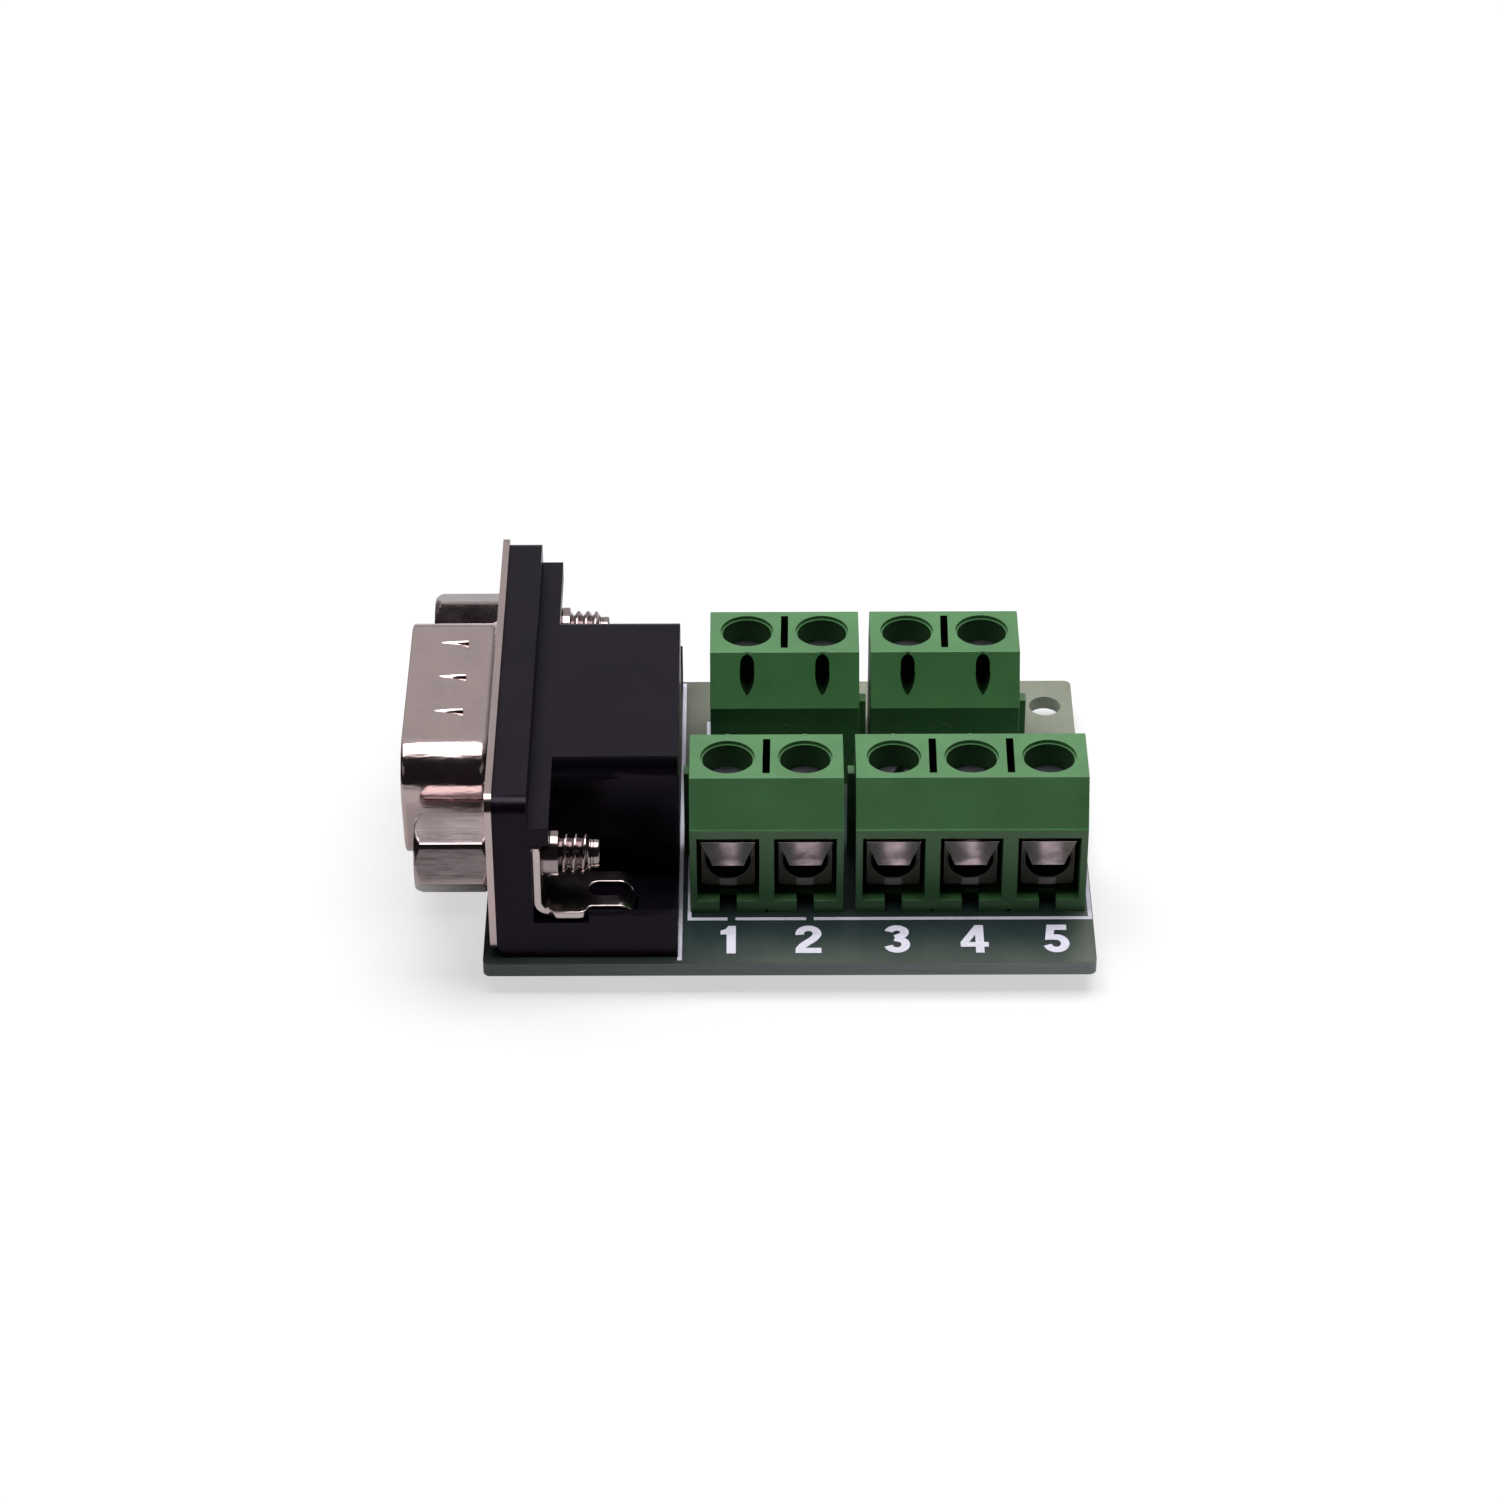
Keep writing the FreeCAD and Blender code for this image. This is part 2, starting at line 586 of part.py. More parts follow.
def housing_tray():
    """The near tray of the housing: floor, outer wall with a notch for the bracket, and lock slot."""
    outer = TRAY_OUTER_Y
    body_near = DSUB_Y - BODY_WIDTH / 2
    floor = box(POCKET_FLOOR_X, BODY_END_X, outer, body_near + CUT, 0, TRAY_FLOOR_Z)
    wall = box(POCKET_FLOOR_X, BODY_END_X, outer, outer + TRAY_WALL, 0, TRAY_WALL_Z)
    notch = box(
        POCKET_FLOOR_X, TRAY_NOTCH_END_X, outer - CUT, outer + TRAY_WALL + CUT,
        TRAY_NOTCH_Z, TRAY_WALL_Z + CUT,
    )
    lock_half = FORK_WIDTH / 2 + POCKET_GAP
    slot = box(
        FORK_LEG_X - BRACKET_SHEET - 2 * POCKET_GAP, FORK_LEG_X + 2 * POCKET_GAP,
        FRONT_JACK_Y - lock_half, FRONT_JACK_Y + lock_half, -CUT, TRAY_FLOOR_Z + CUT,
    )
    return joined([floor, wall]).cut(notch.fuse(slot))


def dsub_housing():
    """The black rear housing: plate, tall body over the bent contacts, and a tray at each end."""
    plate = box(SLAB_BACK_X, PLATE_END_X, TRAY_OUTER_Y, TRAY_OUTER_Y + SLAB_WIDTH, 0, HOUSING_TOP_Z)
    near = DSUB_Y - BODY_WIDTH / 2
    far = DSUB_Y + BODY_WIDTH / 2
    body = box(SLAB_BACK_X, BODY_END_X, near, far, 0, HOUSING_TOP_Z)
    body = round_edges(body, RIGHT, BODY_EDGE_R, lambda middle: middle.z > HOUSING_TOP_Z - CUT)
    pocket_end = FRONT_JACK_Y + BRACKET_WIDTH / 2 + POCKET_GAP
    pocket = box(
        POCKET_FLOOR_X, PLATE_END_X + CUT, TRAY_OUTER_Y - CUT, pocket_end,
        TRAY_FLOOR_Z, POCKET_TOP_Z,
    )
    plate = plate.cut(pocket).cut(across_ends(pocket))
    tray = housing_tray()
    housing = joined([plate, body, tray, across_ends(tray)])
    cavity = box(
        PLATE_END_X, BODY_END_X - BODY_WALL, near + BODY_WALL, far - BODY_WALL,
        -CUT, HOUSING_TOP_Z - BODY_ROOF,
    )
    window_foot = DSUB_AXIS_Z - MOUTH_HEIGHT / 2
    window = box(
        SLAB_BACK_X - CUT, PLATE_END_X + CUT, near + BODY_WALL, far - BODY_WALL,
        window_foot, HOUSING_TOP_Z - BODY_ROOF,
    )
    housing = housing.cut(cavity).cut(window)
    for y in (FRONT_JACK_Y, BACK_JACK_Y):
        housing = housing.cut(rod_along_x(SLAB_BACK_X - CUT, PLATE_END_X + CUT, y, DSUB_AXIS_Z, JACK_HOLE_R))
    return housing.removeSplitter()


def contact(y, z, leg_x):
    """One bent contact: a round pin in the mouth, a thinner tail bent down through the board."""
    tip_x = MATING_X + CONTACT_TIP_SETBACK
    bend_x = leg_x - CONTACT_BEND_R
    bend_z = z - CONTACT_BEND_R
    half_outline = [
        V(tip_x, y, z),
        V(tip_x, y, z + CONTACT_R - CONTACT_TIP_BEVEL),
        V(tip_x + CONTACT_TIP_BEVEL, y, z + CONTACT_R),
        V(SLAB_BACK_X, y, z + CONTACT_R),
        V(SLAB_BACK_X, y, z + CONTACT_TAIL_R),
        V(bend_x, y, z + CONTACT_TAIL_R),
        V(bend_x, y, z),
    ]
    straight = Part.Face(Part.makePolygon(half_outline + [half_outline[0]])).revolve(V(0, y, z), RIGHT, 360)
    section = Part.Face(Part.Wire([Part.makeCircle(CONTACT_TAIL_R, V(bend_x, y, z), RIGHT)]))
    bend = section.revolve(V(bend_x, y, bend_z), BACK, 90)
    leg = rod(V(leg_x, y, bend_z), V(leg_x, y, LEAD_TIP_Z), CONTACT_TAIL_R)
    return joined([straight, bend, leg])


def ground_bracket():
    """The near ground bracket: an upright plate, a tongue, and a fork bent down through the board."""
    back = POCKET_FLOOR_X + BRACKET_SHEET
    low = BRACKET_TONGUE_Z - BRACKET_SHEET
    inner = BRACKET_BEND_R
    outer = BRACKET_BEND_R + BRACKET_SHEET
    half_turn = math.sqrt(0.5)
    y = FRONT_JACK_Y - BRACKET_WIDTH / 2
    leg_out = FORK_LEG_X
    leg_in = FORK_LEG_X - BRACKET_SHEET

    def point(x, z):
        return V(x, y, z)

    def arc(centre_x, centre_z, radius, first, mid, last):
        spots = [point(centre_x + radius * dx, centre_z + radius * dz) for dx, dz in (first, mid, last)]
        return Part.Arc(*spots).toShape()

    west = (-1, 0)
    east = (1, 0)
    north = (0, 1)
    south = (0, -1)
    south_west = (-half_turn, -half_turn)
    north_east = (half_turn, half_turn)
    root_x = back + inner
    root_z = BRACKET_TONGUE_Z + inner
    knee_x = leg_in - inner
    knee_z = low - inner
    edges = [
        Part.makeLine(point(POCKET_FLOOR_X, BRACKET_TOP_Z), point(POCKET_FLOOR_X, root_z)),
        arc(root_x, root_z, outer, west, south_west, south),
        Part.makeLine(point(root_x, low), point(knee_x, low)),
        arc(knee_x, knee_z, inner, north, north_east, east),
        Part.makeLine(point(leg_in, knee_z), point(leg_in, LEAD_TIP_Z)),
        Part.makeLine(point(leg_in, LEAD_TIP_Z), point(leg_out, LEAD_TIP_Z)),
        Part.makeLine(point(leg_out, LEAD_TIP_Z), point(leg_out, knee_z)),
        arc(knee_x, knee_z, outer, east, north_east, north),
        Part.makeLine(point(knee_x, BRACKET_TONGUE_Z), point(root_x, BRACKET_TONGUE_Z)),
        arc(root_x, root_z, inner, south, south_west, west),
        Part.makeLine(point(back, root_z), point(back, BRACKET_TOP_Z)),
        Part.makeLine(point(back, BRACKET_TOP_Z), point(POCKET_FLOOR_X, BRACKET_TOP_Z)),
    ]
    strap = Part.Face(Part.Wire(edges)).extrude(BACK * BRACKET_WIDTH)
    strap = round_edges(strap, RIGHT, BRACKET_CORNER_R, lambda middle: middle.z > BRACKET_TOP_Z - CUT)
    far_x = FORK_LEG_X + CUT
    sides = []
    for side in (-1, 1):
        outside = FRONT_JACK_Y + side * (BRACKET_WIDTH / 2 + CUT)
        fork_edge = FRONT_JACK_Y + side * FORK_WIDTH / 2
        lock_edge = FRONT_JACK_Y + side * LOCK_WIDTH / 2
        low_y, high_y = sorted((outside, fork_edge))
        shoulder = box(FORK_START_X, far_x, low_y, high_y, LEAD_TIP_Z - CUT, BRACKET_TONGUE_Z + CUT)
        reach = (BRACKET_WIDTH - FORK_WIDTH) / 2
        shoulder = round_edges(
            shoulder, UP, reach / 2,
            lambda middle: middle.x < FORK_START_X + CUT / 2 and abs(middle.y - fork_edge) < CUT / 2,
        )
        sides.append(shoulder)
        low_y, high_y = sorted((outside, lock_edge))
        sides.append(box(leg_in - CUT, far_x, low_y, high_y, LEAD_TIP_Z - CUT, LOCK_TOP_Z))
    slot_r = FORK_SLOT_WIDTH / 2
    slot_x = FORK_START_X + slot_r
    slot = box(
        slot_x, far_x, FRONT_JACK_Y - slot_r, FRONT_JACK_Y + slot_r,
        LEAD_TIP_Z - CUT, BRACKET_TONGUE_Z + CUT,
    )
    slot_end = rod_up(slot_x, FRONT_JACK_Y, low - CUT, BRACKET_TONGUE_Z + CUT, slot_r)
    hole = rod_along_x(POCKET_FLOOR_X - CUT, back + CUT, FRONT_JACK_Y, DSUB_AXIS_Z, COLLAR_NECK_R)
    bracket = strap.cut(sides[0].multiFuse(sides[1:] + [slot, slot_end, hole]))
    tab_corner = (BRACKET_WIDTH - FORK_WIDTH) / 2 * 0.9
    return round_edges(
        bracket, UP, tab_corner,
        lambda middle: abs(middle.x - FORK_START_X) < 1e-3
        and abs(abs(middle.y - FRONT_JACK_Y) - BRACKET_WIDTH / 2) < 1e-3,
    )


def threaded_collar():
    """The near threaded collar that is riveted into the bracket and takes the jackscrew."""
    back = POCKET_FLOOR_X + BRACKET_SHEET
    neck_r = COLLAR_NECK_R - COLLAR_FIT
    bore_r = JACK_THREAD_R + JACK_BORE_CLEARANCE
    collar = joined([
        rod_along_x(back, COLLAR_END_X, FRONT_JACK_Y, DSUB_AXIS_Z, COLLAR_R),
        rod_along_x(POCKET_FLOOR_X, back, FRONT_JACK_Y, DSUB_AXIS_Z, neck_r),
    ])
    bore = rod_along_x(POCKET_FLOOR_X - CUT, COLLAR_END_X + CUT, FRONT_JACK_Y, DSUB_AXIS_Z, bore_r)
    return collar.cut(bore)


def jackscrew(y, angle):
    """A hexagonal jackscrew: chamfered hexagon with a threaded mouth, and a shank through the flange."""
    outer_x = FLANGE_FRONT_X - HEX_LENGTH
    corners = []
    for number in range(6):
        turn = math.radians(angle + 60.0 * number)
        corner_y = y - HEX_CORNER_R * math.cos(turn)
        corner_z = DSUB_AXIS_Z + HEX_CORNER_R * math.sin(turn)
        corners.append(V(outer_x, corner_y, corner_z))
    hexagon = prism(corners, RIGHT * HEX_LENGTH)
    bevel = [
        V(outer_x, y, DSUB_AXIS_Z),
        V(outer_x, y, DSUB_AXIS_Z + HEX_CORNER_R - HEX_CHAMFER),
        V(outer_x + HEX_CHAMFER, y, DSUB_AXIS_Z + HEX_CORNER_R),
        V(FLANGE_FRONT_X, y, DSUB_AXIS_Z + HEX_CORNER_R),
        V(FLANGE_FRONT_X, y, DSUB_AXIS_Z),
    ]
    turned = Part.Face(Part.makePolygon(bevel + [bevel[0]])).revolve(V(0, y, DSUB_AXIS_Z), RIGHT, 360)
    shank = rod_along_x(FLANGE_FRONT_X, JACK_THREAD_END_X, y, DSUB_AXIS_Z, JACK_THREAD_R)
    end = [edge for edge in shank.Edges if abs(edge.CenterOfMass.x - JACK_THREAD_END_X) < 1e-6]
    shank = shank.makeChamfer(HEX_CHAMFER, end)
    mouth = rod_along_x(outer_x - CUT, outer_x + HEX_THREAD_DEPTH, y, DSUB_AXIS_Z, HEX_THREAD_R)
    return joined([hexagon.common(turned), shank]).cut(mouth)


# Board and solder


def lead_places():
    """X and Y of each terminal's soldered lead."""
    places = []
    for _, x, y, turned in terminals():
        side = -1 if turned else 1
        places.append((x, y + side * (LEAD_Y + STRIP_THICKNESS / 2)))
    return places


def circuit_board():
    """The board with its plated holes and the one free mounting hole."""
    board = box(0, BOARD_LENGTH, 0, BOARD_WIDTH, -BOARD_THICKNESS, 0)
    board = round_edges(board, UP, BOARD_CORNER_R, lambda middle: True)
    holes = [(BOARD_LENGTH - MOUNT_HOLE_FROM_RIGHT, BOARD_WIDTH - MOUNT_HOLE_FROM_BACK, MOUNT_HOLE_R)]
    holes += [(x, y, LEAD_HOLE_R) for x, y in lead_places()]
    holes += [(leg_x, y, TAIL_HOLE_R) for y, _, leg_x in contact_places()]
    holes += [(LOCK_X, y, LOCK_HOLE_R) for y in (FRONT_JACK_Y, BACK_JACK_Y)]
    tools = [rod_up(x, y, -BOARD_THICKNESS - CUT, CUT, r) for x, y, r in holes]
    return board.cut(tools[0].multiFuse(tools[1:]))


def solder_cone(x, y, foot_r, lead_r):
    """A cone of solder under the board, around a lead."""
    base = V(x, y, -BOARD_THICKNESS)
    return Part.makeCone(foot_r, lead_r + SOLDER_RIM, SOLDER_HEIGHT, base, -UP)


def solder_joints(leads):
    """Every solder joint under the board, each cut clear of the lead that it holds."""
    joints = []
    for x, y in lead_places():
        joints.append(solder_cone(x, y, LEAD_HOLE_R + 0.45, LEAD_WIDTH / 2))
    for y, _, leg_x in contact_places():
        joints.append(solder_cone(leg_x, y, TAIL_HOLE_R + 0.4, CONTACT_TAIL_R))
    for y in (FRONT_JACK_Y, BACK_JACK_Y):
        joints.append(solder_cone(LOCK_X, y, LOCK_HOLE_R + 0.5, LOCK_WIDTH / 2))
    cut = [joint.cut(leads) for joint in joints]
    return Part.makeCompound([solid for shape in cut for solid in shape.Solids])


def all_nodes():
    """Every piece, by name, in board coordinates."""
    nodes = {"circuit_board": circuit_board()}
    nodes["dsub_shell"] = dsub_shell()
    nodes["dsub_insulator"] = dsub_insulator()
    nodes["dsub_housing"] = dsub_housing()
    for number, (y, z, leg_x) in enumerate(contact_places(), start=1):
        nodes[f"dsub_contact_{number}"] = contact(y, z, leg_x)
    nodes["ground_bracket_front"] = ground_bracket()
    nodes["ground_bracket_back"] = across_ends(ground_bracket())
    nodes["threaded_collar_front"] = threaded_collar()
    nodes["threaded_collar_back"] = across_ends(threaded_collar())
    nodes["jackscrew_front"] = jackscrew(FRONT_JACK_Y, NEAR_HEX_ANGLE)
    nodes["jackscrew_back"] = jackscrew(BACK_JACK_Y, FAR_HEX_ANGLE)
    two_way = terminal_block(2)
    nodes["terminal_block_front_left"] = at_terminal(two_way, FRONT_LEFT_X, FRONT_ROW_Y, False)
    nodes["terminal_block_front_right"] = at_terminal(terminal_block(3), FRONT_RIGHT_X, FRONT_ROW_Y, False)
    nodes["terminal_block_back_left"] = at_terminal(two_way, BACK_LEFT_X + PITCH, BACK_ROW_Y, True)
    nodes["terminal_block_back_right"] = at_terminal(two_way, BACK_RIGHT_X + PITCH, BACK_ROW_Y, True)
    for number, x, y, turned in terminals():
        nodes[f"clamp_cage_{number}"] = at_terminal(clamp_cage(), x, y, turned)
        nodes[f"clamp_screw_{number}"] = at_terminal(clamp_screw(SLOT_ANGLES[number - 1]), x, y, turned)
        nodes[f"contact_strip_{number}"] = at_terminal(contact_strip(), x, y, turned)
    soldered = ("dsub_contact", "ground_bracket", "contact_strip")
    held = [shape for name, shape in nodes.items() if name.startswith(soldered)]
    nodes["solder_joints"] = solder_joints(held[0].multiFuse(held[1:]))
    return nodes


def export_nodes():
    """Move every piece to the origin under the middle of the adapter and write it out."""
    os.makedirs("parts", exist_ok=True)
    middle_x = (BOARD_LENGTH + MATING_X) / 2
    shift = V(-middle_x, -BOARD_WIDTH / 2, -LEAD_TIP_Z)
    for name, shape in all_nodes().items():
        shape.translated(shift).exportStep(os.path.join("parts", name + ".step"))


export_nodes()
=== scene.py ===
import bpy
import bmesh
import math
from mathutils import Matrix, Vector


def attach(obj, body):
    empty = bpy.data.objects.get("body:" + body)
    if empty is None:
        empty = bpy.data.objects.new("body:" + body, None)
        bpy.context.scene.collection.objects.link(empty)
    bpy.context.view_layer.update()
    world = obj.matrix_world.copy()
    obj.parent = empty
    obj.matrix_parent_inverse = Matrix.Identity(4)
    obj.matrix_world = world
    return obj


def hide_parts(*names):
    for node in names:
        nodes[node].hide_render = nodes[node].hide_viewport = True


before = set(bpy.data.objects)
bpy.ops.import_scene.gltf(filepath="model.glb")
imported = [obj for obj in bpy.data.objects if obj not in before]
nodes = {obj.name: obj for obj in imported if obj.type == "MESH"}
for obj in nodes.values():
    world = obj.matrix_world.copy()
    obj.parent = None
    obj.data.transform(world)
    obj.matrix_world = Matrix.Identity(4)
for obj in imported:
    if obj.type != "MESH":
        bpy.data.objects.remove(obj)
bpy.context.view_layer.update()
MM = 0.001

# Where the solids stand, in millimetres from the board's near left corner on its top face
MID_X = 17.335
MID_Y = 15.75
LIFT = 2.5
BOARD_LENGTH = 40.0
BOARD_HOLE = (38.05, 28.45)

# The connector
DSUB_Y = 15.85
AXIS_Z = 6.62
JACK_Y = [DSUB_Y - 12.495, DSUB_Y + 12.495]
FLANGE_X = 0.52
MATING_X = -5.33
SHEET = 0.45
MOUTH_WIDTH = 16.92
MOUTH_HEIGHT = 8.36
MOUTH_CORNER = 2.6
MOUTH_SLANT = 10.0

# The terminals
FRONT_ROW_Y = 9.08
BACK_ROW_Y = 23.43
FRONT_X = [15.98, 21.06, 26.86, 31.94, 37.02]
BACK_X = [17.25, 22.33, 28.09, 33.17]
PITCH = 5.08
BLOCK_TOP = 10.0
WIRE_HOLE_Z = 3.4


def at(x, y, z):
    """A point in the frame, in metres, from board coordinates in millimetres."""
    return Vector(((x - MID_X) * MM, (y - MID_Y) * MM, (z + LIFT) * MM))


def board_point(co):
    """Board coordinates of a point in the frame."""
    return Vector((co.x / MM + MID_X, co.y / MM + MID_Y, co.z / MM - LIFT))


def terminal_places():
    """Number, X, Y and facing of every terminal: 1 in the front row, and -1 in the back row."""
    found = [(n, x, FRONT_ROW_Y, 1.0) for n, x in enumerate(FRONT_X, start=1)]
    return found + [(n, x, BACK_ROW_Y, -1.0) for n, x in enumerate(BACK_X, start=6)]


# Shader helpers


def tree(name):
    """A new material with its nodes cleared, and its shader and output."""
    mat = bpy.data.materials.new(name)
    mat.use_nodes = True
    nt = mat.node_tree
    nt.nodes.clear()
    out = nt.nodes.new("ShaderNodeOutputMaterial")
    shader = nt.nodes.new("ShaderNodeBsdfPrincipled")
    nt.links.new(shader.outputs[0], out.inputs[0])
    return mat, nt, shader


def noise(nt, scale, detail=3.0, rough=0.55, stretch=None):
    """Object-space noise, with the scale counted per metre."""
    coords = nt.nodes.new("ShaderNodeTexCoord")
    tex = nt.nodes.new("ShaderNodeTexNoise")
    tex.inputs["Scale"].default_value = scale
    tex.inputs["Detail"].default_value = detail
    tex.inputs["Roughness"].default_value = rough
    if stretch:
        mapping = nt.nodes.new("ShaderNodeMapping")
        mapping.inputs["Scale"].default_value = stretch
        nt.links.new(coords.outputs["Object"], mapping.inputs["Vector"])
        nt.links.new(mapping.outputs[0], tex.inputs["Vector"])
    else:
        nt.links.new(coords.outputs["Object"], tex.inputs["Vector"])
    return tex.outputs["Fac"]


def ramp(nt, fac, stops):
    """A colour ramp over a factor."""
    node = nt.nodes.new("ShaderNodeValToRGB")
    el = node.color_ramp.elements
    while len(el) < len(stops):
        el.new(0.5)
    for e, (pos, col) in zip(el, stops):
        e.position = pos
        e.color = (*col, 1.0)
    nt.links.new(fac, node.inputs[0])
    return node.outputs["Color"]


def level(nt, fac, low, high, a=0.0, b=1.0, smooth=False):
    """A factor between a and b, mapped to the range from low to high."""
    node = nt.nodes.new("ShaderNodeMapRange")
    if smooth:
        node.interpolation_type = "SMOOTHSTEP"
    node.inputs["From Min"].default_value = a
    node.inputs["From Max"].default_value = b
    node.inputs["To Min"].default_value = low
    node.inputs["To Max"].default_value = high
    nt.links.new(fac, node.inputs["Value"])
    return node.outputs[0]


def times(nt, first, second):
    """The product of two factors."""
    node = nt.nodes.new("ShaderNodeMath")
    node.operation = "MULTIPLY"
    nt.links.new(first, node.inputs[0])
    nt.links.new(second, node.inputs[1])
    return node.outputs[0]


def place_axes(nt):
    """The place on the object along X, Y and Z, in metres."""
    coords = nt.nodes.new("ShaderNodeTexCoord")
    split = nt.nodes.new("ShaderNodeSeparateXYZ")
    nt.links.new(coords.outputs["Object"], split.inputs[0])
    return split.outputs


def blend_colour(nt, fac, first, second, mode="MIX"):
    """Two colours mixed by a factor, a number or a socket."""
    node = nt.nodes.new("ShaderNodeMix")
    node.data_type = "RGBA"
    node.blend_type = mode
    for value, socket in ((fac, node.inputs[0]), (first, node.inputs[6]), (second, node.inputs[7])):
        if isinstance(value, (float, int)):
            socket.default_value = value
        elif isinstance(value, tuple):
            socket.default_value = (*value, 1.0)
        else:
            nt.links.new(value, socket)
    return node.outputs[2]


def dimmed(nt, colour, fac):
    """A colour multiplied by a factor."""
    grey = ramp(nt, fac, [(0.0, (0, 0, 0)), (1.0, (1, 1, 1))])
    return blend_colour(nt, 1.0, colour, grey, "MULTIPLY")


def bump(nt, shader, height, strength, distance):
    """Surface relief from a height, in metres."""
    node = nt.nodes.new("ShaderNodeBump")
    node.inputs["Strength"].default_value = strength
    node.inputs["Distance"].default_value = distance
    nt.links.new(height, node.inputs["Height"])
    nt.links.new(node.outputs[0], shader.inputs["Normal"])
    return node


def scaled(col, k):
    """A colour times a number, kept within white."""
    return tuple(min(1.0, c * k) for c in col)


# Materials


def moulded(name, colour, rough, spec, tint=(1.0, 1.0, 1.0), mottle=0.1, grain=0.35, scuffs=0.35):
    """Moulded plastic: slow colour drift, fine grain, and a few pale scuffs."""
    mat, nt, sh = tree(name)
    drift = noise(nt, 260.0, 3.0, 0.6)
    speck = noise(nt, 5200.0, 2.0, 0.6)
    base = ramp(nt, drift, [(0.3, scaled(colour, 1 - mottle)), (0.7, scaled(colour, 1 + mottle))])
    fine = ramp(nt, speck, [(0.25, (0.86, 0.86, 0.86)), (0.75, (1.0, 1.0, 1.0))])
    base = blend_colour(nt, 0.7, base, fine, "MULTIPLY")
    scuff = noise(nt, 900.0, 6.0, 0.75, (1.0, 0.25, 1.0))
    mask = level(nt, scuff, 0.0, scuffs, 0.68, 0.82)
    base = blend_colour(nt, mask, base, scaled(colour, 2.2))
    nt.links.new(base, sh.inputs["Base Color"])
    nt.links.new(level(nt, drift, rough - 0.06, rough + 0.08, 0.3, 0.7), sh.inputs["Roughness"])
    sh.inputs["Specular IOR Level"].default_value = spec
    sh.inputs["Specular Tint"].default_value = (*tint, 1.0)
    bump(nt, sh, speck, grain, 0.00003)
    return mat


def plated(name, colour, rough, brush=(1.0, 1.0, 1.0), scratch=0.35, tarnish=0.3, dark=0.45, waves=0.0):
    """Plated metal: brushed relief along one direction, slow waves, patches of tarnish, varied gloss."""
    mat, nt, sh = tree(name)
    sh.inputs["Metallic"].default_value = 1.0
    patch = noise(nt, 420.0, 5.0, 0.65)
    fine = noise(nt, 3600.0, 4.0, 0.6, brush)
    stained = [(0.28, scaled(colour, dark)), (0.5, scaled(colour, 0.93)), (0.75, scaled(colour, 1.06))]
    base = blend_colour(nt, 1.0 - tarnish, ramp(nt, patch, stained), colour)
    nt.links.new(base, sh.inputs["Base Color"])
    nt.links.new(level(nt, patch, rough + 0.06, rough - 0.03, 0.3, 0.7), sh.inputs["Roughness"])
    relief = bump(nt, sh, fine, scratch, 0.00003)
    if waves:
        slow = nt.nodes.new("ShaderNodeBump")
        slow.inputs["Strength"].default_value = waves
        slow.inputs["Distance"].default_value = 0.0001
        nt.links.new(noise(nt, 800.0, 3.0, 0.5, (0.35, 1.0, 1.0)), slow.inputs["Height"])
        nt.links.new(slow.outputs[0], relief.inputs["Normal"])
    return mat


def glass_weave(nt):
    """Two crossed bands, as of woven glass under the mask."""
    coords = nt.nodes.new("ShaderNodeTexCoord")
    bands = []
    for turn in (0.0, math.pi / 2):
        mapping = nt.nodes.new("ShaderNodeMapping")
        mapping.inputs["Rotation"].default_value = (0, 0, turn)
        nt.links.new(coords.outputs["Object"], mapping.inputs["Vector"])
        wave = nt.nodes.new("ShaderNodeTexWave")
        wave.inputs["Scale"].default_value = 420.0
        wave.inputs["Distortion"].default_value = 0.6
        nt.links.new(mapping.outputs[0], wave.inputs["Vector"])
        bands.append(wave.outputs["Fac"])
    return times(nt, bands[0], bands[1])


def printed_board():
    """Solder mask over glass laminate: dark over copper, pale where the light comes through the resin,
    with painted shade darkening it beside the housing and painted light making it paler at the front edge
    and the right end.
    """
    mat, nt, sh = tree("board_mask")
    cross = glass_weave(nt)
    patch = noise(nt, 180.0, 4.0, 0.6)
    bare = ramp(nt, patch, [(0.3, (0.235, 0.255, 0.195)), (0.7, (0.275, 0.295, 0.23))])
    copper = ramp(nt, patch, [(0.3, (0.018, 0.034, 0.034)), (0.7, (0.026, 0.044, 0.042))])
    axes = place_axes(nt)
    near_y = at(0, 0.2, 0).y
    far_y = at(0, 18.0, 0).y
    right_x = at(BOARD_LENGTH, 0, 0).x
    # Painted light: the copper area is mixed paler towards the front edge and at the right end; where the
    # copper ends towards the back is real
    near = level(nt, axes[1], 0.8, 1.0, near_y - 0.0004, near_y + 0.003, True)
    far = level(nt, axes[1], 1.0, 0.0, far_y - 0.001, far_y + 0.004, True)
    right_end_light = level(nt, axes[0], 1.0, 0.72, right_x - 0.0026, right_x - 0.0002, True)
    filled = times(nt, times(nt, near, far), right_end_light)
    # Painted shade: the bare laminate is darkened beside the tall housing
    housing_shade = level(nt, axes[0], 0.45, 1.0, at(12.7, 0, 0).x, at(19.0, 0, 0).x, True)
    base = blend_colour(nt, filled, dimmed(nt, bare, housing_shade), copper)
    threads = ramp(nt, cross, [(0.0, (0.97, 0.97, 0.97)), (1.0, (1.04, 1.04, 1.04))])
    base = blend_colour(nt, 0.8, base, threads, "MULTIPLY")
    lint = noise(nt, 1500.0, 8.0, 0.8, (0.3, 1.0, 1.0))
    base = blend_colour(nt, level(nt, lint, 0.0, 0.3, 0.72, 0.84), base, (0.3, 0.33, 0.3))
    nt.links.new(base, sh.inputs["Base Color"])
    nt.links.new(level(nt, patch, 0.3, 0.42, 0.3, 0.7), sh.inputs["Roughness"])
    sh.inputs["Specular IOR Level"].default_value = 0.35
    bump(nt, sh, cross, 0.05, 0.00002)
    return mat


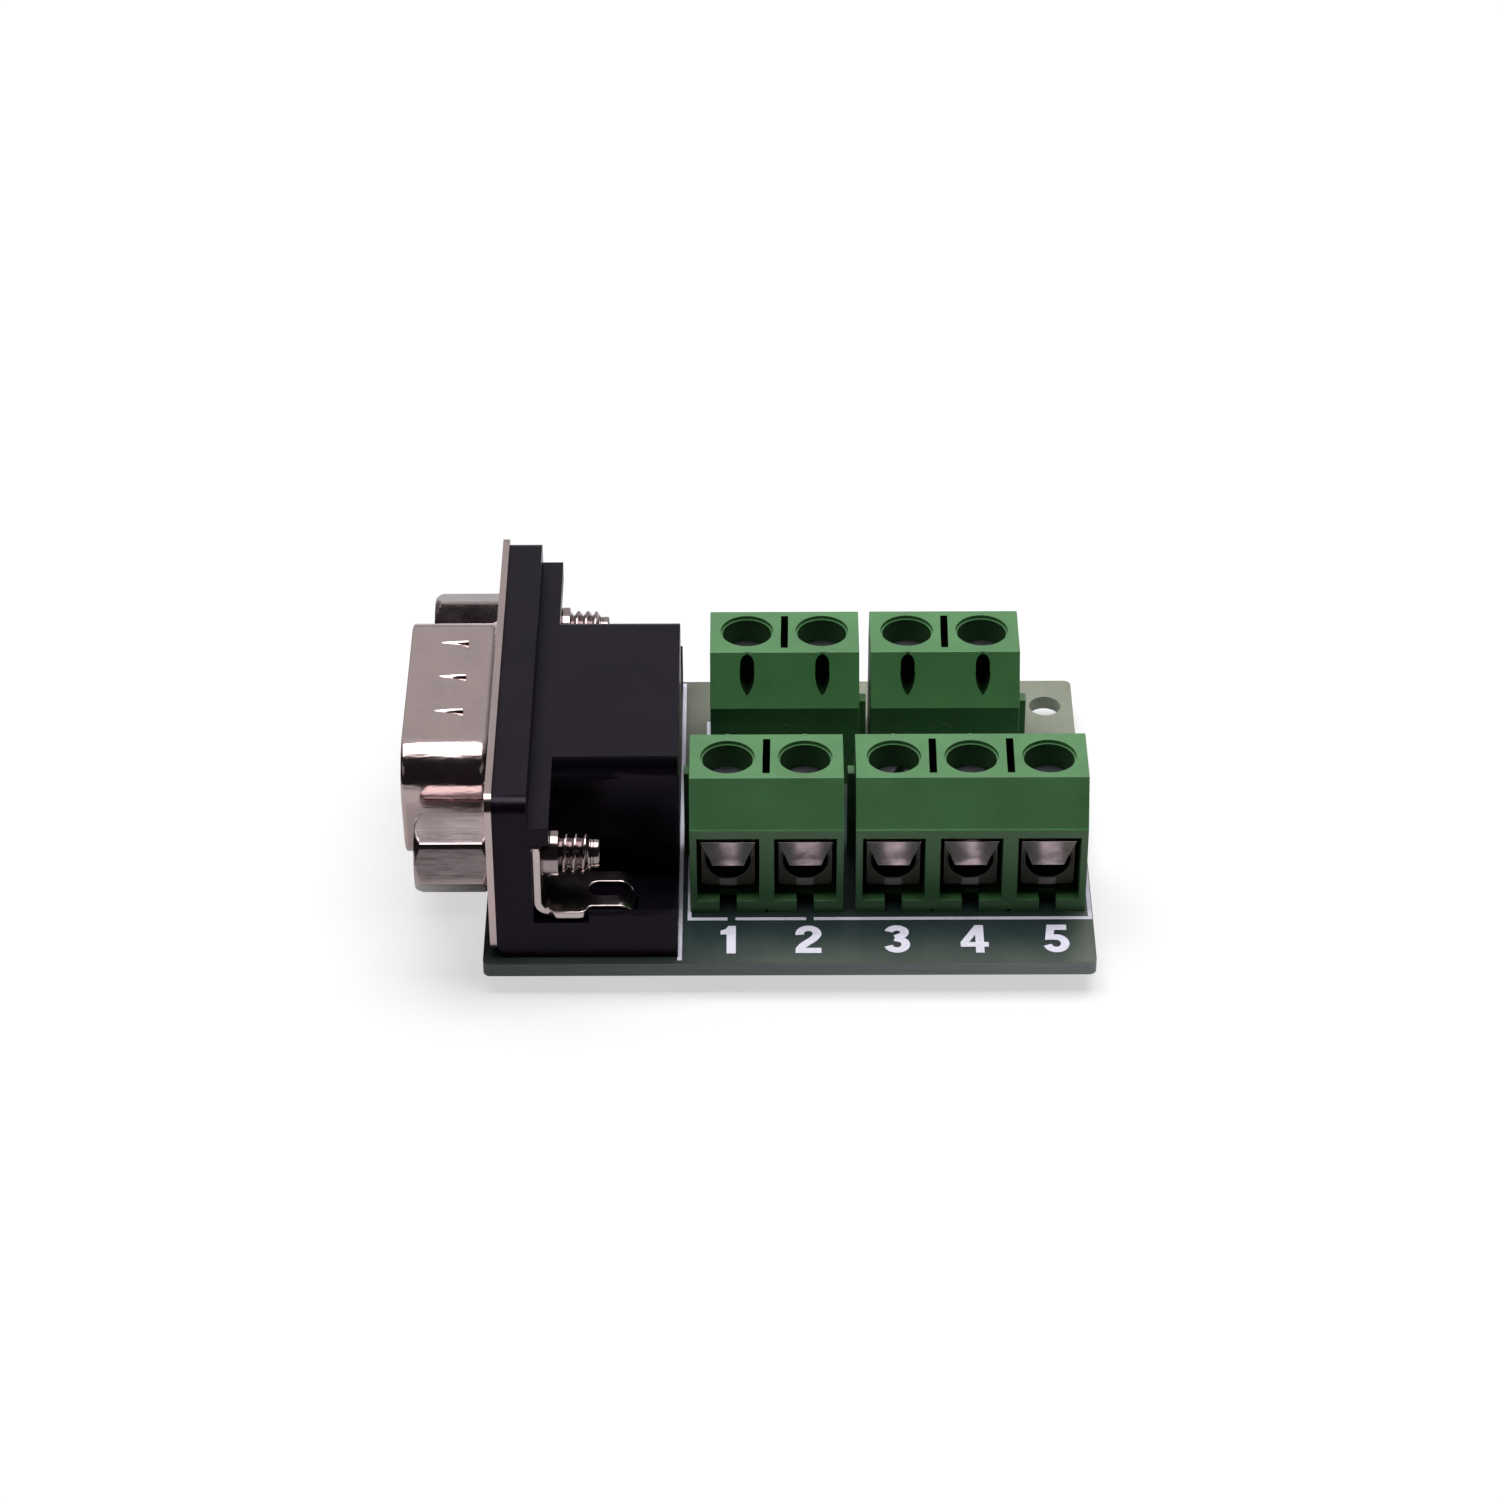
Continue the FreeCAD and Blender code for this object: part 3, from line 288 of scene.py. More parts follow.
def laminate():
    """The sawn edge of the board: pale resin with glass layers, with painted light and shade making it
    paler towards the terminals' end and darker towards the connector.
    """
    mat, nt, sh = tree("board_edge")
    layers = noise(nt, 900.0, 5.0, 0.7, (0.15, 0.15, 6.0))
    grit = noise(nt, 4200.0, 2.0)
    base = ramp(nt, layers, [(0.3, (0.42, 0.47, 0.48)), (0.7, (0.56, 0.6, 0.6))])
    axes = place_axes(nt)
    # Painted light and shade: the edge is darkened to 0.38 at the left end, rising to its full tone at
    # the right end
    pale = level(nt, axes[0], 0.38, 1.0, at(0, 0, 0).x, at(BOARD_LENGTH, 0, 0).x)
    nt.links.new(dimmed(nt, base, pale), sh.inputs["Base Color"])
    sh.inputs["Roughness"].default_value = 0.7
    bump(nt, sh, grit, 0.5, 0.00004)
    return mat


def ink():
    """White printed ink, a little uneven at its edges."""
    mat, nt, sh = tree("white_ink")
    patch = noise(nt, 2600.0, 4.0, 0.7)
    base = ramp(nt, patch, [(0.25, (0.62, 0.6, 0.7)), (0.5, (0.76, 0.74, 0.86))])
    nt.links.new(base, sh.inputs["Base Color"])
    sh.inputs["Roughness"].default_value = 0.6
    bump(nt, sh, patch, 0.3, 0.00001)
    return mat


MAT = {
    "green": moulded("green_plastic", (0.072, 0.222, 0.074), rough=0.4, spec=0.7),
    # Painted shade: darker greens stand for the shade inside the wells, and inside the parting slots and
    # rear windows
    "well": moulded("green_well_painted_shade", (0.026, 0.088, 0.026), rough=0.6, spec=0.2),
    "cavity": moulded("green_cavity_painted_shade", (0.008, 0.022, 0.008), rough=0.7, spec=0.0),
    "black": moulded(
        "black_plastic", (0.0035, 0.0022, 0.005), rough=0.3, spec=0.17, tint=(0.9, 0.72, 1.0),
        mottle=0.15, grain=0.25, scuffs=0.5,
    ),
    "shell": plated(
        "shell_plate", (0.5, 0.4, 0.392), rough=0.12, brush=(0.2, 1.0, 1.0), scratch=0.2,
        tarnish=0.25, waves=0.6,
    ),
    "jack": plated(
        "jack_plate", (0.345, 0.28, 0.285), rough=0.11, brush=(0.12, 1.0, 1.0), scratch=0.1, waves=0.1,
    ),
    "bracket": plated(
        "bracket_plate", (0.56, 0.48, 0.47), rough=0.17, brush=(0.3, 1.0, 1.0), scratch=0.15,
    ),
    # Painted shade: the cages and their rims are darkened to stand for the shade in the wire entries
    "cage": plated("cage_plate", (0.11, 0.105, 0.09), rough=0.4, brush=(1.0, 1.0, 0.2), scratch=0.2),
    "tab": plated("tab_plate", (0.3, 0.27, 0.245), rough=0.36, brush=(1.0, 1.0, 0.2), scratch=0.2),
    "strip": plated(
        "strip_plate", (0.86, 0.68, 0.67), rough=0.2, brush=(0.2, 1.0, 1.0), scratch=0.06,
        tarnish=0.85, dark=0.3,
    ),
    "screw": plated("screw_plate", (0.36, 0.35, 0.4), rough=0.28, scratch=0.3),
    "gold": plated(
        "contact_gold", (0.8, 0.58, 0.25), rough=0.2, brush=(0.2, 1.0, 1.0), scratch=0.08, tarnish=0.15,
    ),
    "solder": plated("solder_alloy", (0.55, 0.55, 0.56), rough=0.24, scratch=0.4, tarnish=0.3, dark=0.6),
    "board": printed_board(),
    "edge": laminate(),
    # Painted light: the free hole's wall is made pale, as if lit, against the shade inside the hole
    "resin": moulded("hole_wall_painted_light", (0.62, 0.66, 0.58), rough=0.7, spec=0.3),
    "ink": ink(),
}


# Mesh helpers


def publish(name, bm, mats, body, smooth=True, sharp_deg=32.0, weighted=False):
    """Turn a bmesh into a piece that rides on a body."""
    mesh = bpy.data.meshes.new(name)
    bmesh.ops.recalc_face_normals(bm, faces=bm.faces)
    bm.to_mesh(mesh)
    bm.free()
    for m in mats:
        mesh.materials.append(m)
    if smooth:
        mesh.polygons.foreach_set("use_smooth", [True] * len(mesh.polygons))
        mesh.set_sharp_from_angle(angle=math.radians(sharp_deg))
    obj = bpy.data.objects.new(name, mesh)
    bpy.context.scene.collection.objects.link(obj)
    if weighted:
        mod = obj.modifiers.new("weighted_normals", "WEIGHTED_NORMAL")
        mod.keep_sharp = True
        mod.weight = 100
    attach(obj, body)
    return obj


def merge_flat(bm):
    """Merge faces that lie in one plane."""
    bmesh.ops.dissolve_limit(bm, angle_limit=math.radians(0.6), verts=bm.verts, edges=bm.edges)


def refined(node, piece, mats, body, bevel_mm=0.08, angle=30.0, shortest=0.5, segments=2,
            keep=None, after=None):
    """The node's own form with its longer sharp edges softened.

    keep picks the faces that stay, and after changes the form once its edges are softened.
    """
    bm = bmesh.new()
    bm.from_mesh(nodes[node].data)
    bmesh.ops.remove_doubles(bm, verts=bm.verts, dist=2e-7)
    if keep:
        lost = [f for f in bm.faces if not keep(board_point(f.calc_center_median()))]
        bmesh.ops.delete(bm, geom=lost, context="FACES")
    merge_flat(bm)
    limit = math.radians(angle)
    chosen = []
    for e in bm.edges:
        if len(e.link_faces) == 2 and e.calc_face_angle(0) > limit and e.calc_length() > shortest * MM:
            chosen.append(e)
    if bevel_mm and chosen:
        bmesh.ops.bevel(
            bm, geom=chosen, offset=bevel_mm * MM, offset_type="OFFSET", segments=segments,
            profile=0.5, affect="EDGES", clamp_overlap=True,
        )
    if after:
        after(bm)
    obj = publish(piece, bm, mats, body, weighted=True)
    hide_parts(node)
    return obj


def carve(bm, cutter):
    """Cut one closed bmesh out of another."""
    pair = []
    for name, form in (("carved", bm), ("cutter", cutter)):
        mesh = bpy.data.meshes.new(name)
        bmesh.ops.recalc_face_normals(form, faces=form.faces)
        form.to_mesh(mesh)
        pair.append(bpy.data.objects.new(name, mesh))
        bpy.context.scene.collection.objects.link(pair[-1])
    mod = pair[0].modifiers.new("cut", "BOOLEAN")
    mod.operation = "DIFFERENCE"
    mod.solver = "EXACT"
    mod.object = pair[1]
    shaped = pair[0].evaluated_get(bpy.context.evaluated_depsgraph_get())
    result = bpy.data.meshes.new_from_object(shaped)
    bm.clear()
    bm.from_mesh(result)
    bmesh.ops.remove_doubles(bm, verts=bm.verts, dist=3e-6)
    merge_flat(bm)
    cutter.free()
    for obj in pair:
        mesh = obj.data
        bpy.data.objects.remove(obj)
        bpy.data.meshes.remove(mesh)
    bpy.data.meshes.remove(result)


def add_box(bm, low, high):
    """A box between two corners in board coordinates."""
    a = at(*low)
    b = at(*high)
    v = [bm.verts.new((x, y, z)) for x in (a.x, b.x) for y in (a.y, b.y) for z in (a.z, b.z)]
    for f in ((0, 1, 3, 2), (4, 6, 7, 5), (0, 4, 5, 1), (2, 3, 7, 6), (0, 2, 6, 4), (1, 5, 7, 3)):
        bm.faces.new([v[i] for i in f])


def ring(bm, around, spot):
    """Points round a closed line, each placed in board coordinates by its angle."""
    return [bm.verts.new(at(*spot(2 * math.pi * j / around))) for j in range(around)]


def bridge(bm, first, second):
    """Quads between two closed rows of points."""
    count = len(first)
    for j in range(count):
        k = (j + 1) % count
        bm.faces.new((first[j], first[k], second[k], second[j]))


def bridge_all(bm, rings):
    """Quads between each row of points and the next."""
    for a, b in zip(rings, rings[1:]):
        bridge(bm, a, b)


def lathe_x(bm, y, z, rows, around=48):
    """A form about an axis along X, open at its ends. A row is an X and a radius, fixed or by angle."""
    rings = []
    for x, radius in rows:
        def spot(turn, x=x, radius=radius):
            r = radius(turn) if callable(radius) else radius
            return x, y - r * math.cos(turn), z + r * math.sin(turn)
        rings.append(ring(bm, around, spot))
    bridge_all(bm, rings)
    return rings


# The shell, drawn in one smooth sheet with its pressed grip dimples


def d_samples():
    """Points round the mouth's D outline with their outward directions: (y, z, normal y, normal z)."""
    high = MOUTH_HEIGHT / 2 - MOUTH_CORNER
    top_y = MOUTH_WIDTH / 2 - MOUTH_CORNER
    low_y = top_y - math.tan(math.radians(MOUTH_SLANT)) * 2 * high
    corners = (
        (top_y, high, -MOUTH_SLANT, 90.0),
        (-top_y, high, 90.0, 180.0 + MOUTH_SLANT),
        (-low_y, -high, 180.0 + MOUTH_SLANT, 270.0),
        (low_y, -high, 270.0, 360.0 - MOUTH_SLANT),
    )
    # The roof comes first, and has the most points for its dimples
    side_steps = (220, 10, 40, 10)
    corner_steps = 22

    def on_corner(cy, cz, degrees):
        turn = math.radians(degrees)
        way = (math.cos(turn), math.sin(turn))
        return (cy + MOUTH_CORNER * way[0], cz + MOUTH_CORNER * way[1], *way)

    found = []
    for index, (cy, cz, start, end) in enumerate(corners):
        for i in range(corner_steps + 1):
            found.append(on_corner(cy, cz, start + (end - start) * i / corner_steps))
        last = found[-1]
        next_y, next_z, next_start, _ = corners[(index + 1) % 4]
        nxt = on_corner(next_y, next_z, next_start)
        for i in range(1, side_steps[index]):
            t = i / side_steps[index]
            y = last[0] + (nxt[0] - last[0]) * t
            z = last[1] + (nxt[1] - last[1]) * t
            found.append((y, z, last[2], last[3]))
    return found


D_RING = d_samples()


def outside_mouth(p):
    """How far a point lies outside the mouth's D outline, in millimetres."""
    y = p.y - DSUB_Y
    z = p.z - AXIS_Z
    near = min(D_RING, key=lambda s: (s[0] - y) ** 2 + (s[1] - z) ** 2)
    return (y - near[0]) * near[2] + (z - near[1]) * near[3]


DIMPLE_TIP_X = -4.1
DIMPLE_STEP_X = -1.42
DIMPLE_DEPTH = 0.24
DIMPLE_WALL = 0.3
DIMPLE_ACROSS = 1.7
DIMPLE_MIDDLES = (-3.8, 0.1, 4.0)


def dimple_sink(x, y):
    """How deep the dimples sink the roof: a steep far wall, a gentle near side, deepest at the step."""
    if not DIMPLE_TIP_X < x < DIMPLE_STEP_X:
        return 0.0
    deep = DIMPLE_DEPTH * ((x - DIMPLE_TIP_X) / (DIMPLE_STEP_X - DIMPLE_TIP_X)) ** 1.3
    for middle in DIMPLE_MIDDLES:
        inward = DSUB_Y + middle + DIMPLE_ACROSS / 2 - y
        if 0.0 < inward < DIMPLE_WALL:
            return deep * (inward / DIMPLE_WALL) ** 2
        if DIMPLE_WALL <= inward < DIMPLE_ACROSS:
            return deep * (1.0 - (inward - DIMPLE_WALL) / (DIMPLE_ACROSS - DIMPLE_WALL)) ** 1.6
    return 0.0


def shell_skin():
    """The outside of the shell: rounded lip, D skirt with dimples, and the flare into the flange."""
    # Each row has an X and how far it stands out from the mouth's outline
    rows = [(MATING_X + back, out) for back, out in (
        (0.12, 0.0), (0.03, 0.06), (0.0, 0.16), (0.0, 0.29), (0.03, 0.39), (0.12, SHEET))]
    rows += [(x, SHEET) for x in (-5.0, -4.75, -4.5, -4.25)]
    dimple_rows = 34
    rows += [(-4.12 + 2.68 * i / dimple_rows, SHEET) for i in range(dimple_rows + 1)]
    rows += [(x, SHEET) for x in (-1.41, -1.3, -0.9, -0.5)]
    flare = 0.7
    for i in range(9):
        turn = math.pi / 2 * i / 8
        rows.append((FLANGE_X - flare + flare * math.sin(turn), SHEET + flare - flare * math.cos(turn)))
    rows.append((FLANGE_X - 0.004, SHEET + flare + 0.12))
    bm = bmesh.new()
    rings = []
    for x, out in rows:
        points = []
        for y, z, ny, nz in D_RING:
            py = DSUB_Y + y + ny * out
            sink = dimple_sink(x, py) if nz > 0.99 and out == SHEET else 0.0
            points.append(bm.verts.new(at(x, py, AXIS_Z + z + nz * out - sink)))
        rings.append(points)
    bridge_all(bm, rings)
    obj = publish("shell_skin", bm, [MAT["shell"]], "adapter", sharp_deg=38.0)
    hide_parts("dsub_shell")


def behind_skin(p):
    """Whether a face of the shell's own solid is not covered by the skin."""
    return p.x > FLANGE_X - 0.01 or (p.x > MATING_X + 0.02 and outside_mouth(p) < 0.12)


shell_skin()
refined("dsub_shell", "shell_flange", [MAT["shell"]], "adapter",
        bevel_mm=0.05, angle=60.0, shortest=0.6, keep=behind_skin)


# Jackscrews with a chamfered hexagon, real threads and a plain tip

HEX_ACROSS = 4.76
HEX_LENGTH = 4.75
THREAD_PITCH = 0.635
SHANK_END_X = 7.73


def hexagon(angle, cap):
    """The radius of the hexagon by angle, its corners cut by a circle."""
    def radius(turn):
        part = (turn - math.radians(angle) + math.pi / 6) % (math.pi / 3) - math.pi / 6
        return min(HEX_ACROSS / 2 / math.cos(math.pi / 6 - abs(part)), cap)
    return radius


def thread_rows(x0, x1, crest, root):
    """Rows of a helical thread along X."""
    count = int((x1 - x0) / (THREAD_PITCH / 14))
    rows = []
    for i in range(count + 1):
        x = x0 + (x1 - x0) * i / count

        def radius(turn, x=x):
            phase = (x / THREAD_PITCH - turn / (2 * math.pi)) % 1.0
            ridge = min(1.0, max(0.0, (1.0 - abs(2.0 * phase - 1.0) - 0.05) / 0.75))
            near_end = min(1.0, (x1 - x) / 0.25, (x - x0) / 0.1 + 0.3)
            return root + (crest - root) * ridge * max(0.0, near_end)
        rows.append((x, radius))
    return rows


def jackscrew(name, y, angle):
    """The hexagon with its threaded mouth, and the shank behind the flange."""
    outer = FLANGE_X - HEX_LENGTH
    flat = HEX_ACROSS / 2
    corner = HEX_ACROSS / math.sqrt(3)
    mouth = 1.34
    # From the socket's floor out through its thread, then back over the hexagon to the flange
    socket_floor = outer + 4.3
    rows = [(socket_floor, 0.02), (socket_floor, 1.1)]
    rows += thread_rows(outer + 0.35, outer + 3.9, crest=1.3, root=1.08)[::-1]
    rows += [(outer + 0.25, mouth), (outer, mouth + 0.2)]
    for i in range(8):
        cap = flat - 0.05 + (corner - flat + 0.02) * i / 7
        rows.append((outer + 0.02 + 0.42 * (i / 7), hexagon(angle, cap)))
    for i in range(6):
        cap = corner - 0.03 - (corner - flat - 0.1) * i / 5
        rows.append((FLANGE_X - 0.3 + 0.29 * (i / 5), hexagon(angle, cap)))
    rows += [(FLANGE_X, 1.7), (FLANGE_X, 1.2)]
    bm = bmesh.new()
    rings = lathe_x(bm, y, AXIS_Z, rows, 96)
    bm.faces.new(rings[0])
    hexa = publish(name + "_hex", bm, [MAT["jack"]], "adapter", sharp_deg=24.0)

    shank = [(3.4, 0.3), (3.4, 1.3)]
    shank += thread_rows(4.6, SHANK_END_X - 0.62, crest=1.4, root=1.07)
    # Each row of the plain tip has its distance from the end and its radius
    tip = ((0.6, 0.93), (0.57, 0.99), (0.46, 0.99), (0.43, 0.94), (0.4, 0.99), (0.08, 0.99), (0.02, 0.94),
           (0.0, 0.86), (0.0, 0.02))
    shank += [(SHANK_END_X - back, r) for back, r in tip]
    bm = bmesh.new()
    lathe_x(bm, y, AXIS_Z, shank, 56)
    rod = publish(name + "_thread", bm, [MAT["jack"]], "adapter", sharp_deg=40.0)
    for piece in (hexa, rod):
        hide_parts(name)


jackscrew("jackscrew_front", JACK_Y[0], 48.0)
jackscrew("jackscrew_back", JACK_Y[1], 20.8)


# The board: its faces take slot 0, its sawn edges slot 1 and the free hole's wall slot 2, which carries
# painted light

board_mats = [MAT["board"], MAT["edge"], MAT["resin"]]
board = refined("circuit_board", "board", board_mats, "adapter",
                bevel_mm=0.05, angle=40.0, shortest=2.0, segments=1)
for poly in board.data.polygons:
    spot = board_point(poly.center)
    if abs(poly.normal.z) < 0.5:
        poly.material_index = 2 if math.hypot(spot.x - BOARD_HOLE[0], spot.y - BOARD_HOLE[1]) < 1.3 else 1


# The terminal blocks, with painted shade in their wells, slots and windows


def painted_shade_slot(p, normal):
    """The slot of a block's face for its painted shade: 2 in a well, 1 in a parting slot or a rear
    window, else 0.
    """
    if not 5.0 < p.z < BLOCK_TOP - 0.06:
        return 0
    for _, x, y, face in terminal_places():
        in_well = p.z < BLOCK_TOP - 0.28 and math.hypot(p.x - x, p.y - y) < 1.75
        in_parting = abs(p.x - x - PITCH / 2) < 0.34 and abs(p.y - y) < 2.1
        on_slope = 0.2 < normal.y * face < 0.95
        by_window = abs(p.x - x) < 0.6 and 1.8 < (p.y - y) * face < 4.0
        if in_well:
            return 2
        if in_parting or (by_window and not on_slope):
            return 1
    return 0


def open_windows(bm):
    """Widen each blind rear window to its almond outline, blunt at the top and pointed at the foot."""
    xs = [board_point(v.co).x for v in bm.verts]
    ys = [board_point(v.co).y for v in bm.verts]
    top = 9.86
    foot = 7.85
    half = 0.48
    floor = 2.14
    beyond = 4.6
    steps = 28
    # The form sqrt(t) (1 - t) is 0.385 at its widest
    drops = [(0.5 - 0.5 * math.cos(math.pi * i / steps)) for i in range(steps + 1)]
    widths = [half * math.sqrt(t) * (1.0 - t) / 0.385 for t in drops]
    right = [(w, top - (top - foot) * t) for t, w in zip(drops, widths)]
    left = [(-w, z) for w, z in right[-2:0:-1]]
    cutter = bmesh.new()
    for _, x, y, face in terminal_places():
        if not (min(xs) < x < max(xs) and min(ys) < y < max(ys)):
            continue
        near = [cutter.verts.new(at(x + w, y + face * floor, z)) for w, z in right + left]
        far = [cutter.verts.new(at(x + w, y + face * beyond, z)) for w, z in right + left]
        bridge(cutter, near, far)
        cutter.faces.new(near)
        cutter.faces.new(far)
    carve(bm, cutter)


for node in ("terminal_block_front_left", "terminal_block_front_right",
             "terminal_block_back_left", "terminal_block_back_right"):
    piece = node.replace("terminal_block", "green_block")
    # Slots 1 and 2 carry the painted shade of the slots, windows and wells
    block_mats = [MAT["green"], MAT["cavity"], MAT["well"]]
    block = refined(node, piece, block_mats, "adapter",
                    bevel_mm=0.05, angle=25.0, shortest=0.6, after=open_windows)
    # Small faces that lie in one plane with a wide one stay flat with it
    wide = [poly.normal.copy() for poly in block.data.polygons if poly.area > 2e-6]
    for poly in block.data.polygons:
        poly.material_index = painted_shade_slot(board_point(poly.center), poly.normal)
        poly.use_smooth = all(poly.normal.dot(flat) < 0.9995 for flat in wide)


# The housings, brackets, contacts, cages and screws, with their edges softened

refined("dsub_insulator", "insulator", [MAT["black"]], "adapter",
        bevel_mm=0.07, angle=40.0, shortest=2.0)
refined("dsub_housing", "housing", [MAT["black"]], "adapter",
        bevel_mm=0.07, angle=40.0, shortest=0.8)

RELIEF_END_X = 4.98
RELIEF_RUN = 0.68
RELIEF_DEPTH = 0.4


def bend_relief(bm):
    """Set the sheet's outer edge back at the bend, so that the lock tab stands out by an S curve."""
    for x in (4.3, 4.47, 4.64, 4.81, RELIEF_END_X):
        geom = bm.verts[:] + bm.edges[:] + bm.faces[:]
        bmesh.ops.bisect_plane(bm, geom=geom, plane_co=at(x, 0, 0), plane_no=(1, 0, 0))
    for v in bm.verts:
        p = board_point(v.co)
        if abs(p.y - DSUB_Y) > 14.95 and p.x < RELIEF_END_X:
            t = min(1.0, (RELIEF_END_X - p.x) / RELIEF_RUN)
            v.co.y += math.copysign(RELIEF_DEPTH * t * t * (3.0 - 2.0 * t), DSUB_Y - p.y) * MM


for end in ("front", "back"):
    refined(f"ground_bracket_{end}", f"bracket_{end}", [MAT["bracket"]], "adapter",
            bevel_mm=0.09, angle=40.0, shortest=0.03, segments=3, after=bend_relief)
    refined(f"threaded_collar_{end}", f"collar_{end}", [MAT["jack"]], "adapter",
            bevel_mm=0.12, angle=60.0, shortest=0.05)
for n in range(1, 10):
    refined(f"dsub_contact_{n}", f"pin_{n}", [MAT["gold"]], "adapter", bevel_mm=0.0)
    refined(f"contact_strip_{n}", f"strip_{n}", [MAT["strip"]], "adapter",
            bevel_mm=0.03, angle=40.0, shortest=0.25)
    refined(f"clamp_cage_{n}", f"cage_piece_{n}", [MAT["cage"]], f"cage_{n}", bevel_mm=0.0)
    refined(f"clamp_screw_{n}", f"screw_piece_{n}", [MAT["screw"]], f"screw_{n}",
            bevel_mm=0.05, angle=50.0, shortest=0.3)
refined("solder_joints", "solder", [MAT["solder"]], "adapter", bevel_mm=0.0)


def cage_rims():
    """The rolled rim round each wire hole, and the tab under it."""
    cage_front = 2.45
    # Each row has a radius and how far it lies behind the cage's front
    profile = ((1.5, 0.25), (1.505, 0.0), (1.53, -0.025), (1.58, -0.03), (1.64, 0.0), (1.7, 0.05))
    for n, x, y, face in terminal_places():
        bm = bmesh.new()
        rings = []
        for r, back in profile:
            front_y = y + face * (back - cage_front)
            rings.append(ring(bm, 64, lambda turn: (
                x + r * math.cos(turn), front_y, WIRE_HOLE_Z + r * math.sin(turn))))
        bridge_all(bm, rings)
        rim = len(bm.faces)
        near, far = sorted((y - face * (cage_front + 0.02), y - face * (cage_front - 0.25)))
        add_box(bm, (x - 0.56, near, 1.3), (x + 0.56, far, 1.9))
        bm.faces.ensure_lookup_table()
        for f in bm.faces[rim:]:
            f.material_index = 1
        publish(f"cage_rim_{n}", bm, [MAT["cage"], MAT["tab"]], f"cage_{n}")


cage_rims()


def small_marks():
    """Moulding marks: a nub on the rear top edge behind each well, and a gate mark on each rear face."""
    rear_edge = 2.42
    rear_wall = 3.95
    gate_z = 4.6
    bm = bmesh.new()
    for _, x, y, face in terminal_places():
        edge = y + face * rear_edge
        rings = [ring(bm, 20, lambda turn: (
            x + r * math.cos(turn), edge + 0.5 * r * math.sin(turn), BLOCK_TOP + rise))
            for r, rise in ((0.22, -0.02), (0.19, 0.02), (0.1, 0.035))]
        bridge_all(bm, rings)
        bm.faces.new(rings[-1])
    gates = (
        ((FRONT_X[0] + FRONT_X[1]) / 2, FRONT_ROW_Y, 1.0),
        (FRONT_X[3], FRONT_ROW_Y, 1.0),
        ((BACK_X[0] + BACK_X[1]) / 2, BACK_ROW_Y, -1.0),
        ((BACK_X[2] + BACK_X[3]) / 2, BACK_ROW_Y, -1.0),
    )
    for x, y, face in gates:
        wall = y + face * rear_wall
        rings = [ring(bm, 24, lambda turn: (
            x + r * math.cos(turn), wall + face * out, gate_z + r * math.sin(turn)))
            for r, out in ((0.46, -0.02), (0.42, 0.04), (0.3, 0.05), (0.2, 0.02))]
        bridge_all(bm, rings)
        bm.faces.new(rings[-1])
    publish("moulding_marks", bm, [MAT["green"]], "adapter")


small_marks()


# Printed lines and numbers

INK_HEIGHT = 0.018
STROKE = 0.56


def silkscreen():
    """The printed outlines of the connector and the terminals."""
    bm = bmesh.new()
    for low, high in (
        ((12.67, 0.34), (12.97, 31.25)),
        ((13.3, 4.5), (15.93, 4.8)),
        ((16.45, 4.5), (21.11, 4.8)),
        ((21.61, 4.5), (39.95, 4.8)),
        ((13.3, 4.8), (13.55, 13.45)),
        ((39.68, 4.8), (39.95, 13.45)),
        ((13.3, 13.45), (22.6, 13.7)),
        ((25.2, 13.45), (39.95, 13.7)),
        ((14.42, 19.0), (14.68, 26.7)),
        ((14.42, 18.75), (22.6, 19.0)),
        ((25.2, 18.75), (36.6, 19.0)),
    ):
        add_box(bm, (*low, 0.0), (*high, INK_HEIGHT))
    publish("print_lines", bm, [MAT["ink"]], "adapter", smooth=False)


silkscreen()


def ribbon(points):
    """Four-sided outlines of a stroke along a line of points."""
    left = []
    right = []
    for i, p in enumerate(points):
        a = points[max(0, i - 1)]
        b = points[min(len(points) - 1, i + 1)]
        along = Vector((b[0] - a[0], b[1] - a[1]))
        along.normalize()
        side = Vector((-along.y, along.x)) * STROKE / 2
        left.append((p[0] + side.x, p[1] + side.y))
        right.append((p[0] - side.x, p[1] - side.y))
    return [[right[i], right[i + 1], left[i + 1], left[i]] for i in range(len(points) - 1)]


def arc_points(cx, cy, rx, ry, start, end, steps=20):
    """Points along part of an ellipse, between two angles in degrees."""
    turns = [math.radians(start + (end - start) * i / steps) for i in range(steps + 1)]
    return [(cx + rx * math.cos(t), cy + ry * math.sin(t)) for t in turns]


